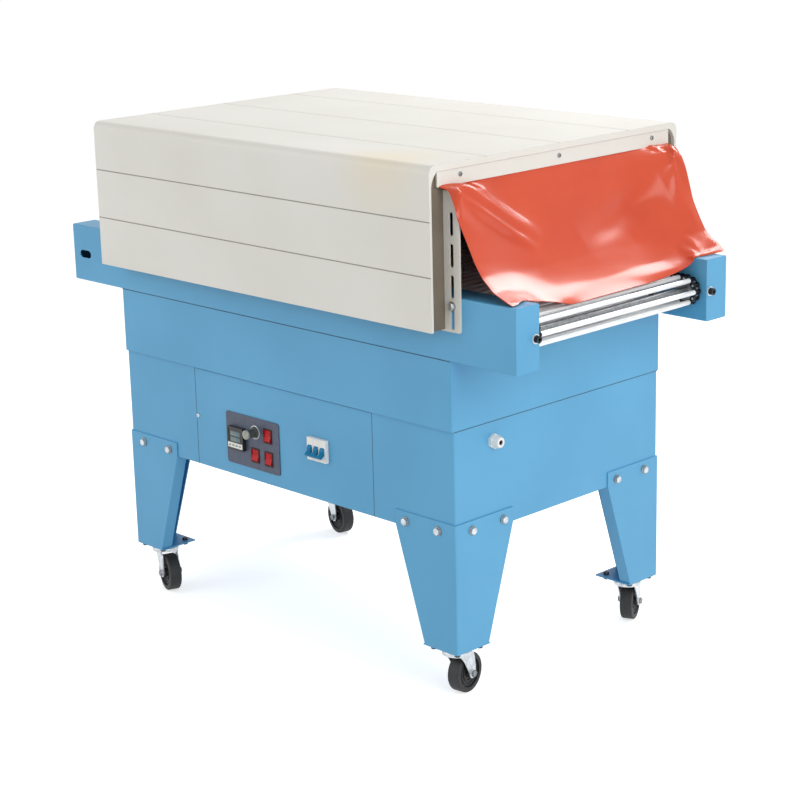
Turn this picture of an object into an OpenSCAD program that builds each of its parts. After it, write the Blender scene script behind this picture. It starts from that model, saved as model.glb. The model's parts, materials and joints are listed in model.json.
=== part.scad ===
// Heat shrink tunnel on four casters.
// X runs along the conveyor to the exit, -Y is the control side, Z is up, and the floor is at Z = 0.

/* [Conveyor] */
// Length of the two side rails
rail_length = 1300; // [1150:10:1500]
// Distance between the rails' inner faces
rail_gap = 482; // [440:2:560]
// Width of one rail
rail_width = 61; // [52:1:75]
// Height of one rail
rail_height = 121.5; // [110:0.5:140]
// Height of the shafts above the rails' underside
shaft_rise = 59; // [50:1:62]
// Least distance from a rail's end to the shaft in it
shaft_end_room = 40; // [38:1:60]
// Diameter of the two sprocket shafts
shaft_d = 16; // [12:1:20]
// Pitch of the roller chain
chain_pitch = 12.7; // [12:0.1:13.5]
// Teeth of a sprocket, an even number
sprocket_teeth = 12; // [12:2:14]
// Diameter of the conveyor rods
rod_d = 10; // [7:0.5:12]
// Overall width of one chain over its link plates
chain_w = 13; // [11:0.5:14]
// Gap between a chain and its rail
chain_gap = 5; // [4:0.5:8]

/* [Cabinets] */
// Length of the upper cabinet
upper_length = 976; // [900:2:1000]
// Height of the upper cabinet
upper_height = 135; // [100:1:180]
// How far the upper cabinet stands in from the rails' outer faces
upper_inset = 1.4; // [0:0.1:10]
// Length of the lower cabinet
lower_length = 975; // [880:1:990]
// Height of the lower cabinet
lower_height = 210; // [190:1:280]
// How far the lower cabinet stands in from the upper one at front and rear
lower_inset = 5; // [2:0.5:12]
// Sheet thickness of cabinets and rails
sheet = 2; // [1.5:0.1:3]
// Outer radius of the bent edges of cabinets, rails and legs
edge_r = 3; // [2:0.5:4]
// Width of the access panel in the control side
panel_w = 532; // [480:2:600]
// Offset of the access panel's middle towards the exit
panel_x = 5; // [-20:1:20]
// Gap round the access panel
panel_gap = 0.6; // [0.3:0.1:0.9]
// Distance from the lower cabinet's control side to the cable gland
gland_inset = 105.6; // [80:0.1:200]
// Height of the cable gland above the lower cabinet's underside
gland_rise = 171; // [120:1:185]

/* [Legs] */
// Drop from the cabinet's underside to the leg's underside
leg_drop = 228; // [180:1:300]
// Height of the bolted part that laps the cabinet
leg_lap = 30; // [24:1:50]
// Width of a leg's flange at the top
leg_top_w = 158; // [130:1:190]
// Width of a leg's flange at the bottom
leg_bottom_w = 86; // [80:1:100]
// Sheet thickness of the legs
leg_sheet = 2.5; // [2:0.1:4]
// Width of the folded lip on a sloping edge
leg_lip = 24; // [12:1:30]
// Side of the square foot plate
foot_w = 90; // [84:1:100]

/* [Casters] */
// Height of a caster from the floor to its top plate
caster_height = 103; // [100:1:115]
// Diameter of a wheel
wheel_d = 80; // [70:1:82]
// Width of a wheel's tread
wheel_w = 26; // [20:1:30]
// Distance that a wheel trails behind its swivel
caster_trail = 24; // [18:1:30]
// Side of the square top plate
caster_plate_w = 78; // [66:1:86]
// Sheet thickness of plate and fork
caster_sheet = 2.5; // [2:0.1:3]
// Diameter of the axle
axle_d = 8; // [6:0.5:10]
// Swivel angle of the front caster at the exit
swivel_front_exit = 98; // [-180:1:180]
// Swivel angle of the front caster at the entry
swivel_front_entry = -19; // [-180:1:180]
// Swivel angle of the rear caster at the exit
swivel_rear_exit = 115; // [-180:1:180]
// Swivel angle of the rear caster at the entry
swivel_rear_entry = -12; // [-180:1:180]

/* [Hood] */
// Length of the hood's boards
hood_length = 977; // [900:1:1000]
// Height of the hood from its lower edge to its top
hood_height = 301; // [280:1:360]
// How far the hood reaches down beside the rails
hood_lap = 60.5; // [50:0.5:80]
// Thickness of the insulated chamber walls
wall_t = 37; // [30:1:50]
// Thickness of the cladding boards
board_t = 6; // [4:0.5:10]
// Outer radius along the hood's long top edges
shoulder_r = 16; // [8:1:30]
// Inner radius of the shoulder boards
shoulder_inner_r = 36; // [20:1:36]
// How far the chamber's ends stand in from the boards' ends
end_recess = 8; // [7:0.5:12]
// Width of one top board beside the middle seam
top_board_w = 200; // [150:1:240]
// Width of the V groove at a seam
seam_w = 3; // [1:0.5:5]

/* [Curtains and strips] */
// Thickness of the curtain sheet
curtain_t = 2; // [1:0.5:3]
// How far the curtain's middle swings out at its foot
curtain_reach = 112; // [60:1:130]
// How much further its two corners swing out
curtain_corner_reach = 34; // [0:1:40]
// Width of the clamp bar
clamp_w = 650; // [600:2:680]
// Height of the clamp bar
clamp_h = 28; // [20:1:30]
// Thickness of the clamp bar
clamp_t = 4; // [3:0.5:4]
// Height of the clamp bar above the chamber's ceiling
clamp_rise = 2; // [1:0.5:4]
// Width of a slotted strip
strip_w = 49; // [44:1:60]
// Thickness of a slotted strip
strip_t = 3; // [2:0.5:5]
// Width of a strip that the hood covers
strip_cover = 18; // [14:1:24]
// Distance from a strip's covered edge to the middle of its slots
strip_slot_inset = 29; // [26:1:32]
// Length of one slot in a strip
strip_slot = 43; // [30:1:48]
// Distance between slots in a strip
strip_pitch = 57; // [52:1:60]

/* [Controls] */
// Width of the control plate
plate_w = 163; // [160:1:200]
// Height of the control plate
plate_h = 109; // [106:1:130]
// Distance from the access panel's entry edge to the control plate
plate_inset = 98; // [60:1:110]
// Distance from the cabinet's underside to the control plate
plate_rise = 25; // [15:1:50]
// Side of the square temperature controller
controller_w = 48; // [44:1:50]
// Diameter of the knob's skirt
knob_d = 24; // [18:1:26]
// How far the knob stands out
knob_l = 25; // [18:1:32]
// Width of a rocker switch's bezel
rocker_w = 25; // [23:0.5:28]
// Height of a rocker switch's bezel
rocker_h = 31; // [28:0.5:34]
// Tilt of a rocker to either side
rocker_tilt = 9; // [6:1:12]
// Distance from the access panel's exit edge to the breaker
breaker_inset = 126; // [60:1:160]
// Height of the breaker's middle above the cabinet's underside
breaker_rise = 105; // [60:1:150]
// Width of the breaker's nose
breaker_w = 54; // [36:18:72]
// Height of the breaker's nose
breaker_h = 46; // [44:1:50]
// Tilt of the breaker's toggle to either side
toggle_tilt = 38; // [25:1:40]

/* [Hidden] */
$fn = 64;
powder_blue = "#62a6cf";
cream = "#e4e2da";
taupe = "#857a6c";
zinc = "#c9ccce";
black_rubber = "#2b2b2b";

// Small overshoot that lets a cut pass clear through a face
over = 1;
// Clearance of pieces that turn in one another, and of pins in their bores
turn_gap = 0.3;
pin_gap = 0.05;

// Heights of the stack, from the floor up
cabinet_z = caster_height + leg_drop;
upper_z = cabinet_z + lower_height;
rail_z = upper_z + upper_height;
rail_top = rail_z + rail_height;
hood_z = rail_top - hood_lap;
hood_top = hood_z + hood_height;
chamber_top = hood_top - board_t - wall_t;
side_seams = [hood_z + hood_height / 3, hood_z + hood_height * 2 / 3];

// Half widths, from the middle out
rail_in = rail_gap / 2;
rail_out = rail_in + rail_width;
upper_y = rail_out - upper_inset;
lower_y = upper_y - lower_inset;
lower_x = lower_length / 2;
chamber_y = rail_out + strip_t;
hood_y = chamber_y + wall_t + board_t;
wall_x = hood_length / 2 - end_recess;

// Conveyor: shafts a whole even number of links apart, with a pin of the chain at the top of each sprocket
pitch_r = chain_pitch / (2 * sin(180 / sprocket_teeth));
run_links = 2 * floor((rail_length - 2 * shaft_end_room) / (2 * chain_pitch));
wrap_links = sprocket_teeth / 2;
loop_links = 2 * run_links + 2 * wrap_links;
shaft_x = run_links * chain_pitch / 2;
shaft_z = rail_z + shaft_rise;
shaft_slot = 38;
chain_out = rail_in - chain_gap;
chain_in = chain_out - chain_w;
link_plate_t = 2;
link_half_h = 5.9;
link_waist = 4.1;
roller_d = 7.9;
rod_top = shaft_z + pitch_r + rod_d / 2;
tension_inset = 10;

// Slotted strips stand beside the rails, from just below the hood up to just below the chamber's ceiling
strip_below = 4;
strip_headroom = 5;
strip_bottom = hood_z - strip_below;
strip_top = chamber_top - strip_headroom;
strip_x = hood_length / 2 - strip_cover;

// Clamp bar over the curtain's top edge
clamp_z = chamber_top + clamp_rise;
clamp_x = wall_x + curtain_t;

// Curtain: its grid, its half widths under the bar and below, and the heights where it bends and lands
curtain_rows = 10;
curtain_cols = 16;
curtain_margin = 3;
curtain_top_half = clamp_w / 2 - curtain_margin;
curtain_rail_gap = 5;
curtain_half = rail_out - curtain_rail_gap;
curtain_strip_gap = 2;
curtain_start = strip_top + curtain_strip_gap;
curtain_lift = 1;
belly_middle = 45;
belly_corner = 8;
belly_height = 0.48;
lift_from = 0.35;
lift_span = 0.63;

// Controls stand on the control plate, at offsets from its middle, and the plate is fixed to the access panel
panel_face = -lower_y;
panel_left = panel_x - panel_w / 2;
panel_right = panel_x + panel_w / 2;
plate_t = 2;
plate_face = panel_face - plate_t;
plate_at = [panel_left + plate_inset + plate_w / 2, cabinet_z + plate_rise + plate_h / 2];
controller_offset = [-45, 2];
controller_at = plate_at + controller_offset;
controller_proud = 9;
controller_lip = 1.5;
controller_neck = controller_w - 2 * controller_lip;
knob_offset = [8.5, 24];
knob_at = plate_at + knob_offset;
knob_shaft_r = 3;
rocker_offsets = [[48, 23], [7.5, -25], [49, -25]];
rocker_at = [for (offset = rocker_offsets) plate_at + offset];
rocker_wall = 1.5;
rocker_flange = 1.5;
rocker_sides = 2 * (rocker_flange + rocker_wall);
rocker_in_w = rocker_w - rocker_sides;
rocker_in_h = rocker_h - rocker_sides;
rocker_r = rocker_in_h / 2 - turn_gap;
rocker_pivot = 3.5;
breaker_at = [panel_right - breaker_inset - breaker_w / 2, cabinet_z + breaker_rise];
breaker_proud = 8;
breaker_depth = 40;
breaker_face = panel_face - breaker_proud;
toggle_r = 9;
toggle_pivot = 5;
toggle_reach = 19;
pole_w = 18;
lever_w = 10;
poles = floor(breaker_w / pole_w);
poles_x = [for (i = [0:poles - 1]) breaker_at[0] + (i - (poles - 1) / 2) * pole_w];

// Caster levels: top plate, ball race, fork crown and king pin head
race_h = 5;
race_r = 23;
crown_top = caster_height - caster_sheet - race_h - turn_gap;
crown_bottom = crown_top - caster_sheet;
king_r = 6;
king_head_r = 10;
king_head_h = 3;
crown_r = 29;
crown_skirt = 9;
fork_room = 4;
fork_gap = wheel_w + 2 * fork_room;
axle_end = 3;
caster_x = lower_x + leg_sheet - leg_bottom_w / 2;
caster_y = lower_y + leg_sheet - leg_bottom_w / 2;

function mix(a, b, t) = a + (b - a) * t;
function clamped(t) = max(0, min(1, t));
function eased(t) = clamped(t) * clamped(t) * (3 - 2 * clamped(t));
function bow(a, b, c, t) = (1 - t) * (1 - t) * a + 2 * t * (1 - t) * b + t * t * c;

// Lays a drawing in the plane across the conveyor and extrudes it along X
module along_x(length) {
    rotate([90, 0, 90]) linear_extrude(length, center = true) children();
}

// Lays a drawing on the control side at height y and extrudes it outwards
module on_front(y, depth) {
    translate([0, y, 0]) rotate([90, 0, 0]) linear_extrude(depth) children();
}

// Turns a piece made for the front corner at the exit to another corner
module at_corner(x_side, y_side) {
    mirror([x_side < 0 ? 1 : 0, 0, 0]) mirror([0, y_side > 0 ? 1 : 0, 0]) children();
}

module rounded_rect(w, h, r) {
    square([w - 2 * r, h], center = true);
    square([w, h - 2 * r], center = true);
    for (x = [-1, 1], y = [-1, 1])
        translate([x * (w / 2 - r), y * (h / 2 - r)]) circle(r);
}

module slot_2d(length, width) {
    square([width, length - width], center = true);
    for (end = [-1, 1])
        translate([0, end * (length - width) / 2]) circle(width / 2);
}

// A closed cabinet of bent sheet with round upright edges
module sheet_box(length, width, height) {
    difference() {
        linear_extrude(height) rounded_rect(length, width, edge_r);
        translate([0, 0, sheet]) linear_extrude(height - 2 * sheet)
            square([length - 2 * sheet, width - 2 * sheet], center = true);
    }
}

// Rail at the front: a closed box section with a take-up slot at the entry and a shaft hole at the exit
module rail() {
    hole_d = shaft_d + 2 * turn_gap;
    color(powder_blue) difference() {
        translate([0, -rail_in - rail_width / 2, rail_z + rail_height / 2]) difference() {
            along_x(rail_length) rounded_rect(rail_width, rail_height, edge_r);
            along_x(rail_length - 2 * sheet)
                square([rail_width - 2 * sheet, rail_height - 2 * sheet], center = true);
        }
        translate([-shaft_x, -rail_in + over, shaft_z]) rotate([90, 0, 0])
            linear_extrude(rail_width + 2 * over) rotate(90) slot_2d(shaft_slot, hole_d);
        translate([shaft_x, -rail_in + over, shaft_z]) rotate([90, 0, 0])
            cylinder(h = sheet + 2 * over, d = hole_d);
    }
}

module front_rail() { rail(); }
module rear_rail() { mirror([0, 1, 0]) rail(); }

module upper_cabinet() {
    color(powder_blue) translate([0, 0, upper_z]) sheet_box(upper_length, 2 * upper_y, upper_height);
}

module lower_cabinet() {
    color(powder_blue) difference() {
        translate([0, 0, cabinet_z]) sheet_box(lower_length, 2 * lower_y, lower_height);
        translate([panel_left, panel_face - over, cabinet_z - over])
            cube([panel_w, sheet + over, lower_height - sheet + over]);
    }
}

module breaker_window(margin) {
    translate(breaker_at) square([breaker_w + 2 * margin, breaker_h + 2 * margin], center = true);
}

// Cut-outs that the control plate and the access panel share
module control_cutouts() {
    rocker_cut = turn_gap - 2 * rocker_flange;
    translate(controller_at) square(controller_neck + turn_gap, center = true);
    translate(knob_at) circle(knob_shaft_r + pin_gap);
    for (at = rocker_at)
        translate(at) square([rocker_w + rocker_cut, rocker_h + rocker_cut], center = true);
}

module access_panel() {
    color(powder_blue) on_front(panel_face + sheet, sheet) difference() {
        translate([panel_left + panel_gap, cabinet_z])
            square([panel_w - 2 * panel_gap, lower_height - sheet - panel_gap]);
        control_cutouts();
        breaker_window(turn_gap);
    }
}

// Flange of a leg, drawn from its corner edge inwards
module leg_flange_2d() {
    polygon([[0, caster_height], [0, cabinet_z + leg_lap], [-leg_top_w, cabinet_z + leg_lap],
        [-leg_top_w, cabinet_z], [-leg_bottom_w, caster_height]]);
}

module leg_lip_2d() {
    polygon([[-leg_top_w, cabinet_z], [-leg_bottom_w, caster_height],
        [leg_sheet - leg_bottom_w, caster_height], [leg_sheet - leg_top_w, cabinet_z]]);
}

// Bent leg: two flanges that meet at a round corner edge, a lip on each sloping edge and a foot plate
module leg() {
    color(powder_blue) intersection() {
        union() {
            translate([lower_x + leg_sheet, 0, 0]) {
                on_front(-lower_y, leg_sheet) leg_flange_2d();
                on_front(leg_lip - lower_y, leg_lip) leg_lip_2d();
            }
            translate([lower_x + leg_sheet / 2, -lower_y - leg_sheet, 0])
                along_x(leg_sheet) mirror([1, 0]) leg_flange_2d();
            translate([lower_x - leg_lip / 2, -lower_y - leg_sheet, 0])
                along_x(leg_lip) mirror([1, 0]) leg_lip_2d();
            translate([lower_x + leg_sheet - foot_w, -lower_y - leg_sheet, caster_height])
                cube([foot_w, foot_w, leg_sheet]);
        }
        translate([lower_x + leg_sheet - leg_top_w, leg_top_w - lower_y - leg_sheet, caster_height - over])
            linear_extrude(leg_drop + leg_lap + 2 * over) rounded_rect(2 * leg_top_w, 2 * leg_top_w, edge_r);
    }
}

module leg_front_exit() { at_corner(1, -1) leg(); }
module leg_front_entry() { at_corner(-1, -1) leg(); }
module leg_rear_exit() { at_corner(1, 1) leg(); }
module leg_rear_entry() { at_corner(-1, 1) leg(); }

// Top plate, ball race and king pin of one caster
module caster_plate() {
    plate_r = 6;
    pin_l = caster_height - crown_bottom + turn_gap;
    translate([0, 0, caster_height - caster_sheet]) linear_extrude(caster_sheet)
        rounded_rect(caster_plate_w, caster_plate_w, plate_r);
    translate([0, 0, crown_top + turn_gap]) rotate_extrude() {
        square([race_r - race_h / 2, race_h]);
        translate([race_r - race_h / 2, race_h / 2]) circle(race_h / 2);
    }
    translate([0, 0, caster_height - pin_l]) cylinder(h = pin_l, r = king_r);
    translate([0, 0, caster_height - pin_l - king_head_h]) cylinder(h = king_head_h, r = king_head_r);
}

module caster_plates() {
    color(zinc) for (x = [-1, 1], y = [-1, 1])
        translate([x * caster_x, y * caster_y, 0]) caster_plate();
}

// Half section of a fork's pressed crown: a shallow dish with a round shoulder and a skirt
module crown_2d() {
    shoulder = 4;
    skirt_z = crown_top - crown_skirt;
    difference() {
        union() {
            translate([0, skirt_z]) square([crown_r, crown_skirt - shoulder]);
            translate([0, crown_top - shoulder]) square([crown_r - shoulder, shoulder]);
            translate([crown_r - shoulder, crown_top - shoulder]) circle(shoulder);
        }
        translate([-over, skirt_z - over])
            square([crown_r - caster_sheet + over, crown_bottom - skirt_z + over]);
        translate([-over, skirt_z - over])
            square([king_r + pin_gap + over, crown_skirt + 2 * over]);
    }
}

// Outline of a fork arm: its two edges sweep from the crown down to the eye round the axle
module arm_2d() {
    arm_top = 22;
    eye_r = 10;
    sweep = 14;
    steps = 8;
    skirt_z = crown_top - crown_skirt;
    axle_z = wheel_d / 2;
    back_edge = [for (i = [0:steps])
        bow([-arm_top, skirt_z], [sweep - arm_top, skirt_z], [caster_trail - eye_r, axle_z], i / steps)];
    front_edge = [for (i = [0:steps])
        bow([caster_trail + eye_r, axle_z], [arm_top + eye_r, skirt_z], [arm_top, skirt_z], i / steps)];
    polygon([[-arm_top, crown_bottom], each back_edge, each front_edge, [arm_top, crown_bottom]]);
    translate([caster_trail, axle_z]) circle(eye_r);
}

// Pressed fork with its axle, trailing along +X
module caster_fork() {
    fork_w = fork_gap + 2 * caster_sheet;
    axle_l = fork_w + 2 * axle_end;
    color(zinc) {
        rotate_extrude() crown_2d();
        for (side = [-1, 1])
            translate([0, side * (fork_gap + caster_sheet) / 2 + caster_sheet / 2, 0])
                rotate([90, 0, 0]) linear_extrude(caster_sheet) arm_2d();
        translate([caster_trail, axle_l / 2, wheel_d / 2]) rotate([90, 0, 0])
            cylinder(h = axle_l, d = axle_d);
    }
}

// Wheel with a rounded tread, a web with two ribs and a hub, about the axle of a fork
module caster_wheel() {
    tread_r = 3;
    tread_h = 10;
    web_half = wheel_w / 2 - 4;
    ribs = [16, 23];
    rib_w = 2;
    rib_proud = 2;
    hub_r = 10;
    rim = wheel_d / 2;
    half = wheel_w / 2;
    bore_r = axle_d / 2 + pin_gap;
    color(black_rubber) translate([caster_trail, 0, rim]) rotate([90, 0, 0]) rotate_extrude() {
        translate([bore_r, -web_half]) square([rim - tread_h - bore_r, 2 * web_half]);
        for (r = ribs)
            translate([r, -web_half - rib_proud]) square([rib_w, 2 * (web_half + rib_proud)]);
        translate([bore_r, turn_gap - fork_gap / 2]) square([hub_r - bore_r, fork_gap - 2 * turn_gap]);
        translate([rim - tread_h, -half]) square([tread_h - tread_r, wheel_w]);
        translate([rim - tread_r, tread_r - half]) square([tread_r, wheel_w - 2 * tread_r]);
        for (edge = [-1, 1])
            translate([rim - tread_r, edge * (half - tread_r)]) circle(tread_r);
    }
}

module at_caster(x_side, y_side, angle) {
    translate([x_side * caster_x, y_side * caster_y, 0]) rotate([0, 0, angle]) children();
}

module fork_front_exit() { at_caster(1, -1, swivel_front_exit) caster_fork(); }
module fork_front_entry() { at_caster(-1, -1, swivel_front_entry) caster_fork(); }
module fork_rear_exit() { at_caster(1, 1, swivel_rear_exit) caster_fork(); }
module fork_rear_entry() { at_caster(-1, 1, swivel_rear_entry) caster_fork(); }
module wheel_front_exit() { at_caster(1, -1, swivel_front_exit) caster_wheel(); }
module wheel_front_entry() { at_caster(-1, -1, swivel_front_entry) caster_wheel(); }
module wheel_rear_exit() { at_caster(1, 1, swivel_rear_exit) caster_wheel(); }
module wheel_rear_entry() { at_caster(-1, 1, swivel_rear_entry) caster_wheel(); }

// Hood outline across the conveyor, drawn in from the outside by an inset, with round top corners
module hood_2d(inset, r) {
    half = hood_y - inset;
    top = hood_top - inset;
    translate([-half, hood_z]) square([2 * half, top - r - hood_z]);
    translate([r - half, hood_z]) square([2 * (half - r), top - hood_z]);
    for (side = [-1, 1])
        translate([side * (half - r), top - r]) circle(r);
}

// Insulated shell of the chamber, open below
module chamber_2d() {
    difference() {
        hood_2d(board_t, shoulder_inner_r);
        translate([-chamber_y, hood_z - over]) square([2 * chamber_y, chamber_top - hood_z + over]);
    }
}

module front_chamber_wall() {
    color(taupe) along_x(2 * wall_x) intersection() {
        chamber_2d();
        translate([-hood_y, hood_z - over]) square([hood_y, chamber_top - hood_z + over]);
    }
}

module rear_chamber_wall() { mirror([0, 1, 0]) front_chamber_wall(); }

module chamber_roof() {
    color(taupe) along_x(2 * wall_x) intersection() {
        chamber_2d();
        translate([-hood_y, chamber_top]) square([2 * hood_y, wall_t]);
    }
}

// Cladding with a V groove at every seam
module cladding_2d() {
    difference() {
        hood_2d(0, shoulder_r);
        hood_2d(board_t, shoulder_inner_r);
        translate([-hood_y + board_t, hood_z - over])
            square([2 * (hood_y - board_t), hood_height / 2]);
        for (side = [-1, 1], z = side_seams)
            translate([side * hood_y, z]) rotate(45) square(seam_w / sqrt(2), center = true);
        for (side = [-1, 0, 1])
            translate([side * top_board_w, hood_top]) rotate(45) square(seam_w / sqrt(2), center = true);
    }
}

// End lip folded down behind the boards' ends, from the cladding to just above the clamp bar
module end_lip_2d() {
    lip_gap = 0.5;
    lip_z = clamp_z + clamp_h + lip_gap;
    intersection() {
        hood_2d(board_t, shoulder_inner_r);
        translate([-hood_y, lip_z]) square([2 * hood_y, hood_top - lip_z]);
    }
}

// The part of the cladding and its end lips inside a window across the conveyor
module cladding_board(y0, y1, z0, z1) {
    color(cream) {
        along_x(hood_length) intersection() {
            cladding_2d();
            translate([y0, z0]) square([y1 - y0, z1 - z0]);
        }
        if (z1 == hood_top)
            for (end = [-1, 1])
                translate([end * (hood_length - end_recess) / 2, 0, 0]) along_x(end_recess) intersection() {
                    end_lip_2d();
                    translate([y0, z0]) square([y1 - y0, z1 - z0]);
                }
    }
}

module front_lower_board() { cladding_board(-hood_y, 0, hood_z, side_seams[0]); }
module front_middle_board() { cladding_board(-hood_y, 0, side_seams[0], side_seams[1]); }
module front_shoulder_board() { cladding_board(-hood_y, -top_board_w, side_seams[1], hood_top); }
module top_front_board() { cladding_board(-top_board_w, 0, chamber_top, hood_top); }
module top_rear_board() { mirror([0, 1, 0]) top_front_board(); }
module rear_shoulder_board() { mirror([0, 1, 0]) front_shoulder_board(); }
module rear_middle_board() { mirror([0, 1, 0]) front_middle_board(); }
module rear_lower_board() { mirror([0, 1, 0]) front_lower_board(); }

// Slotted strip that carries the hood on a rail, bolted through its lowest slot
module slotted_strip() {
    corner_r = 6;
    slot_w = 9;
    slots = 4;
    slot_margin = 5;
    slot_bottom = strip_bottom + slot_margin;
    color(cream) on_front(strip_t - chamber_y, strip_t) difference() {
        union() {
            translate([strip_x, strip_bottom + corner_r])
                square([strip_w, strip_top - strip_bottom - corner_r]);
            translate([strip_x, strip_bottom]) square([strip_w - corner_r, corner_r]);
            translate([strip_x + strip_w - corner_r, strip_bottom + corner_r]) circle(corner_r);
        }
        for (i = [0:slots - 1])
            translate([strip_x + strip_slot_inset, slot_bottom + strip_slot / 2 + i * strip_pitch])
                slot_2d(strip_slot, slot_w);
    }
}

module slotted_strips() {
    for (x = [-1, 1], y = [-1, 1])
        at_corner(x, y) slotted_strip();
}

module exit_clamp_bar() {
    bar_r = 2;
    color(cream) translate([clamp_x + clamp_t / 2, 0, clamp_z + clamp_h / 2])
        along_x(clamp_t) rounded_rect(clamp_w, clamp_h, bar_r);
}

module entry_clamp_bar() { mirror([1, 0, 0]) exit_clamp_bar(); }

// Share of the corner shape at a place across the sheet, 0 at the middle and 1 over a rail
function over_rail(across) = eased((abs(across) * curtain_half / rail_in - lift_from) / lift_span);
function curtain_foot(w) = [curtain_reach + curtain_corner_reach * w,
    mix(rod_top, rail_top, w) + curtain_lift];
function curtain_belly(w) = [mix(belly_middle, belly_corner, w),
    mix(curtain_foot(w)[1], curtain_start, belly_height)];
function curtain_at(t, w) = bow([0, curtain_start], curtain_belly(w), curtain_foot(w), t);
function curtain_slope(t, w) = (1 - t) * (curtain_belly(w) - [0, curtain_start])
    + t * (curtain_foot(w) - curtain_belly(w));
function turned_out(v) = [-v[1], v[0]] / norm(v);
function curtain_point(row, across, side) =
    let (w = over_rail(across), t = clamped((row - 2) / curtain_rows))
    row == 0 ? [side * curtain_t, across * curtain_top_half, clamp_z + clamp_h - curtain_margin]
    : row == 1 ? [side * curtain_t, across * curtain_top_half, clamp_z]
    : let (p = curtain_at(t, w) + side * curtain_t * turned_out(curtain_slope(t, w)))
        [p[0], across * curtain_half, p[1]];

// Curtain sheet: clamped flat at the top, then swung out to lie over rods and rails
module curtain() {
    rows = curtain_rows + 2;
    cols = curtain_cols;
    function at(side, row, col) = side * (rows + 1) * (cols + 1) + row * (cols + 1) + col;
    function patch(side, r, c) =
        [at(side, r, c), at(side, r, c + 1), at(side, r + 1, c + 1), at(side, r + 1, c)];
    function rim(r0, c0, r1, c1) = [at(0, r0, c0), at(1, r0, c0), at(1, r1, c1), at(0, r1, c1)];
    function turned(quad) = [for (i = [3:-1:0]) quad[i]];
    points = [for (side = [0, 1], row = [0:rows], col = [0:cols])
        curtain_point(row, 2 * col / cols - 1, side)];
    quads = [
        for (r = [0:rows - 1], c = [0:cols - 1]) each [patch(0, r, c), turned(patch(1, r, c))],
        for (r = [0:rows - 1]) each [rim(r + 1, 0, r, 0), rim(r, cols, r + 1, cols)],
        for (c = [0:cols - 1]) each [rim(0, c, 0, c + 1), rim(rows, c + 1, rows, c)]];
    faces = [for (q = quads) each [[q[0], q[1], q[2]], [q[0], q[2], q[3]]]];
    color("#d9543a") polyhedron(points, faces);
}

module exit_curtain() { translate([wall_x, 0, 0]) curtain(); }
module entry_curtain() { translate([-wall_x - curtain_t, 0, 0]) curtain(); }

// Centre of a chain pin, counted from the top of the exit sprocket forward round the loop,
// and its outward normal
function pin_stage(i) = i <= wrap_links ? 0 : i <= wrap_links + run_links ? 1
    : i <= 2 * wrap_links + run_links ? 2 : 3;
function pin_turn(i) = pin_stage(i) == 0 ? 90 - i * 180 / wrap_links
    : pin_stage(i) == 1 ? -90
    : pin_stage(i) == 2 ? -90 - (i - wrap_links - run_links) * 180 / wrap_links
    : 90;
function pin_out(i) = [cos(pin_turn(i)), sin(pin_turn(i))];
function pin_at(i) = pitch_r * pin_out(i) + (pin_stage(i) == 0 ? [shaft_x, 0]
    : pin_stage(i) == 1 ? [shaft_x - (i - wrap_links) * chain_pitch, 0]
    : pin_stage(i) == 2 ? [-shaft_x, 0]
    : [(i - 2 * wrap_links - run_links) * chain_pitch - shaft_x, 0]);

// Edge of the link plates, waisted between the pins
function link_edge(side) = [for (i = [0:loop_links - 1])
    let (next = (i + 1) % loop_links)
    each [pin_at(i) + side * link_half_h * pin_out(i),
        (pin_at(i) + pin_at(next)) / 2 + side * link_waist * (pin_out(i) + pin_out(next)) / 2]];

module link_plates() {
    linear_extrude(link_plate_t) difference() {
        polygon(link_edge(1));
        polygon(link_edge(-1));
    }
}

// Chain at the front: two rows of link plates with rollers between them
module chain() {
    color("#303030") translate([0, -chain_in, shaft_z]) rotate([90, 0, 0]) {
        link_plates();
        translate([0, 0, chain_w - link_plate_t]) link_plates();
        for (i = [0:loop_links - 1])
            translate([pin_at(i)[0], pin_at(i)[1], 0]) cylinder(h = chain_w, d = roller_d);
    }
}

module front_chain() { chain(); }
module rear_chain() { mirror([0, 1, 0]) chain(); }

module conveyor_rods() {
    color("#eceeee") for (i = [1:2:loop_links - 1])
        translate([pin_at(i)[0], chain_in, shaft_z + pin_at(i)[1]]) rotate([90, 0, 0])
            cylinder(h = 2 * chain_in, d = rod_d);
}

// Sprocket whose tooth flanks clear the seated rollers and those that run straight on and off
module sprocket() {
    tooth_rise = 3;
    tooth_r = pitch_r + tooth_rise;
    tooth_gap = 1;
    tooth_t = chain_w - 2 * link_plate_t - 2 * tooth_gap;
    linear_extrude(tooth_t, center = true) difference() {
        circle(tooth_r);
        for (i = [0:sprocket_teeth - 1], link = [-1, 0, 1])
            rotate(i * 360 / sprocket_teeth) translate([pitch_r, link * chain_pitch])
                circle(roller_d / 2 + turn_gap);
    }
}

// Shaft with a sprocket for each chain, its ends carried in the rails
module sprocket_shaft() {
    shaft_half = rail_in + rail_width / 2;
    color("#4a4a4a") translate([shaft_x, 0, shaft_z]) rotate([90, 0, 0]) {
        cylinder(h = 2 * shaft_half, d = shaft_d, center = true);
        for (side = [-1, 1])
            translate([0, 0, side * (chain_in + chain_w / 2)]) sprocket();
    }
}

module exit_shaft() { sprocket_shaft(); }
module entry_shaft() { mirror([1, 0, 0]) sprocket_shaft(); }

// Chain tension screw on a rail's end: washer and socket head
module tension_bolt() {
    washer_r = 9;
    washer_t = 2;
    head_r = 6.5;
    head_l = 8;
    socket_r = 3.5;
    socket_l = 5;
    translate([rail_length / 2, -rail_in - tension_inset, shaft_z]) rotate([0, 90, 0]) difference() {
        union() {
            cylinder(h = washer_t, r = washer_r);
            cylinder(h = washer_t + head_l, r = head_r);
        }
        translate([0, 0, washer_t + head_l - socket_l]) cylinder(h = socket_l + over, r = socket_r, $fn = 6);
    }
}

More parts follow.
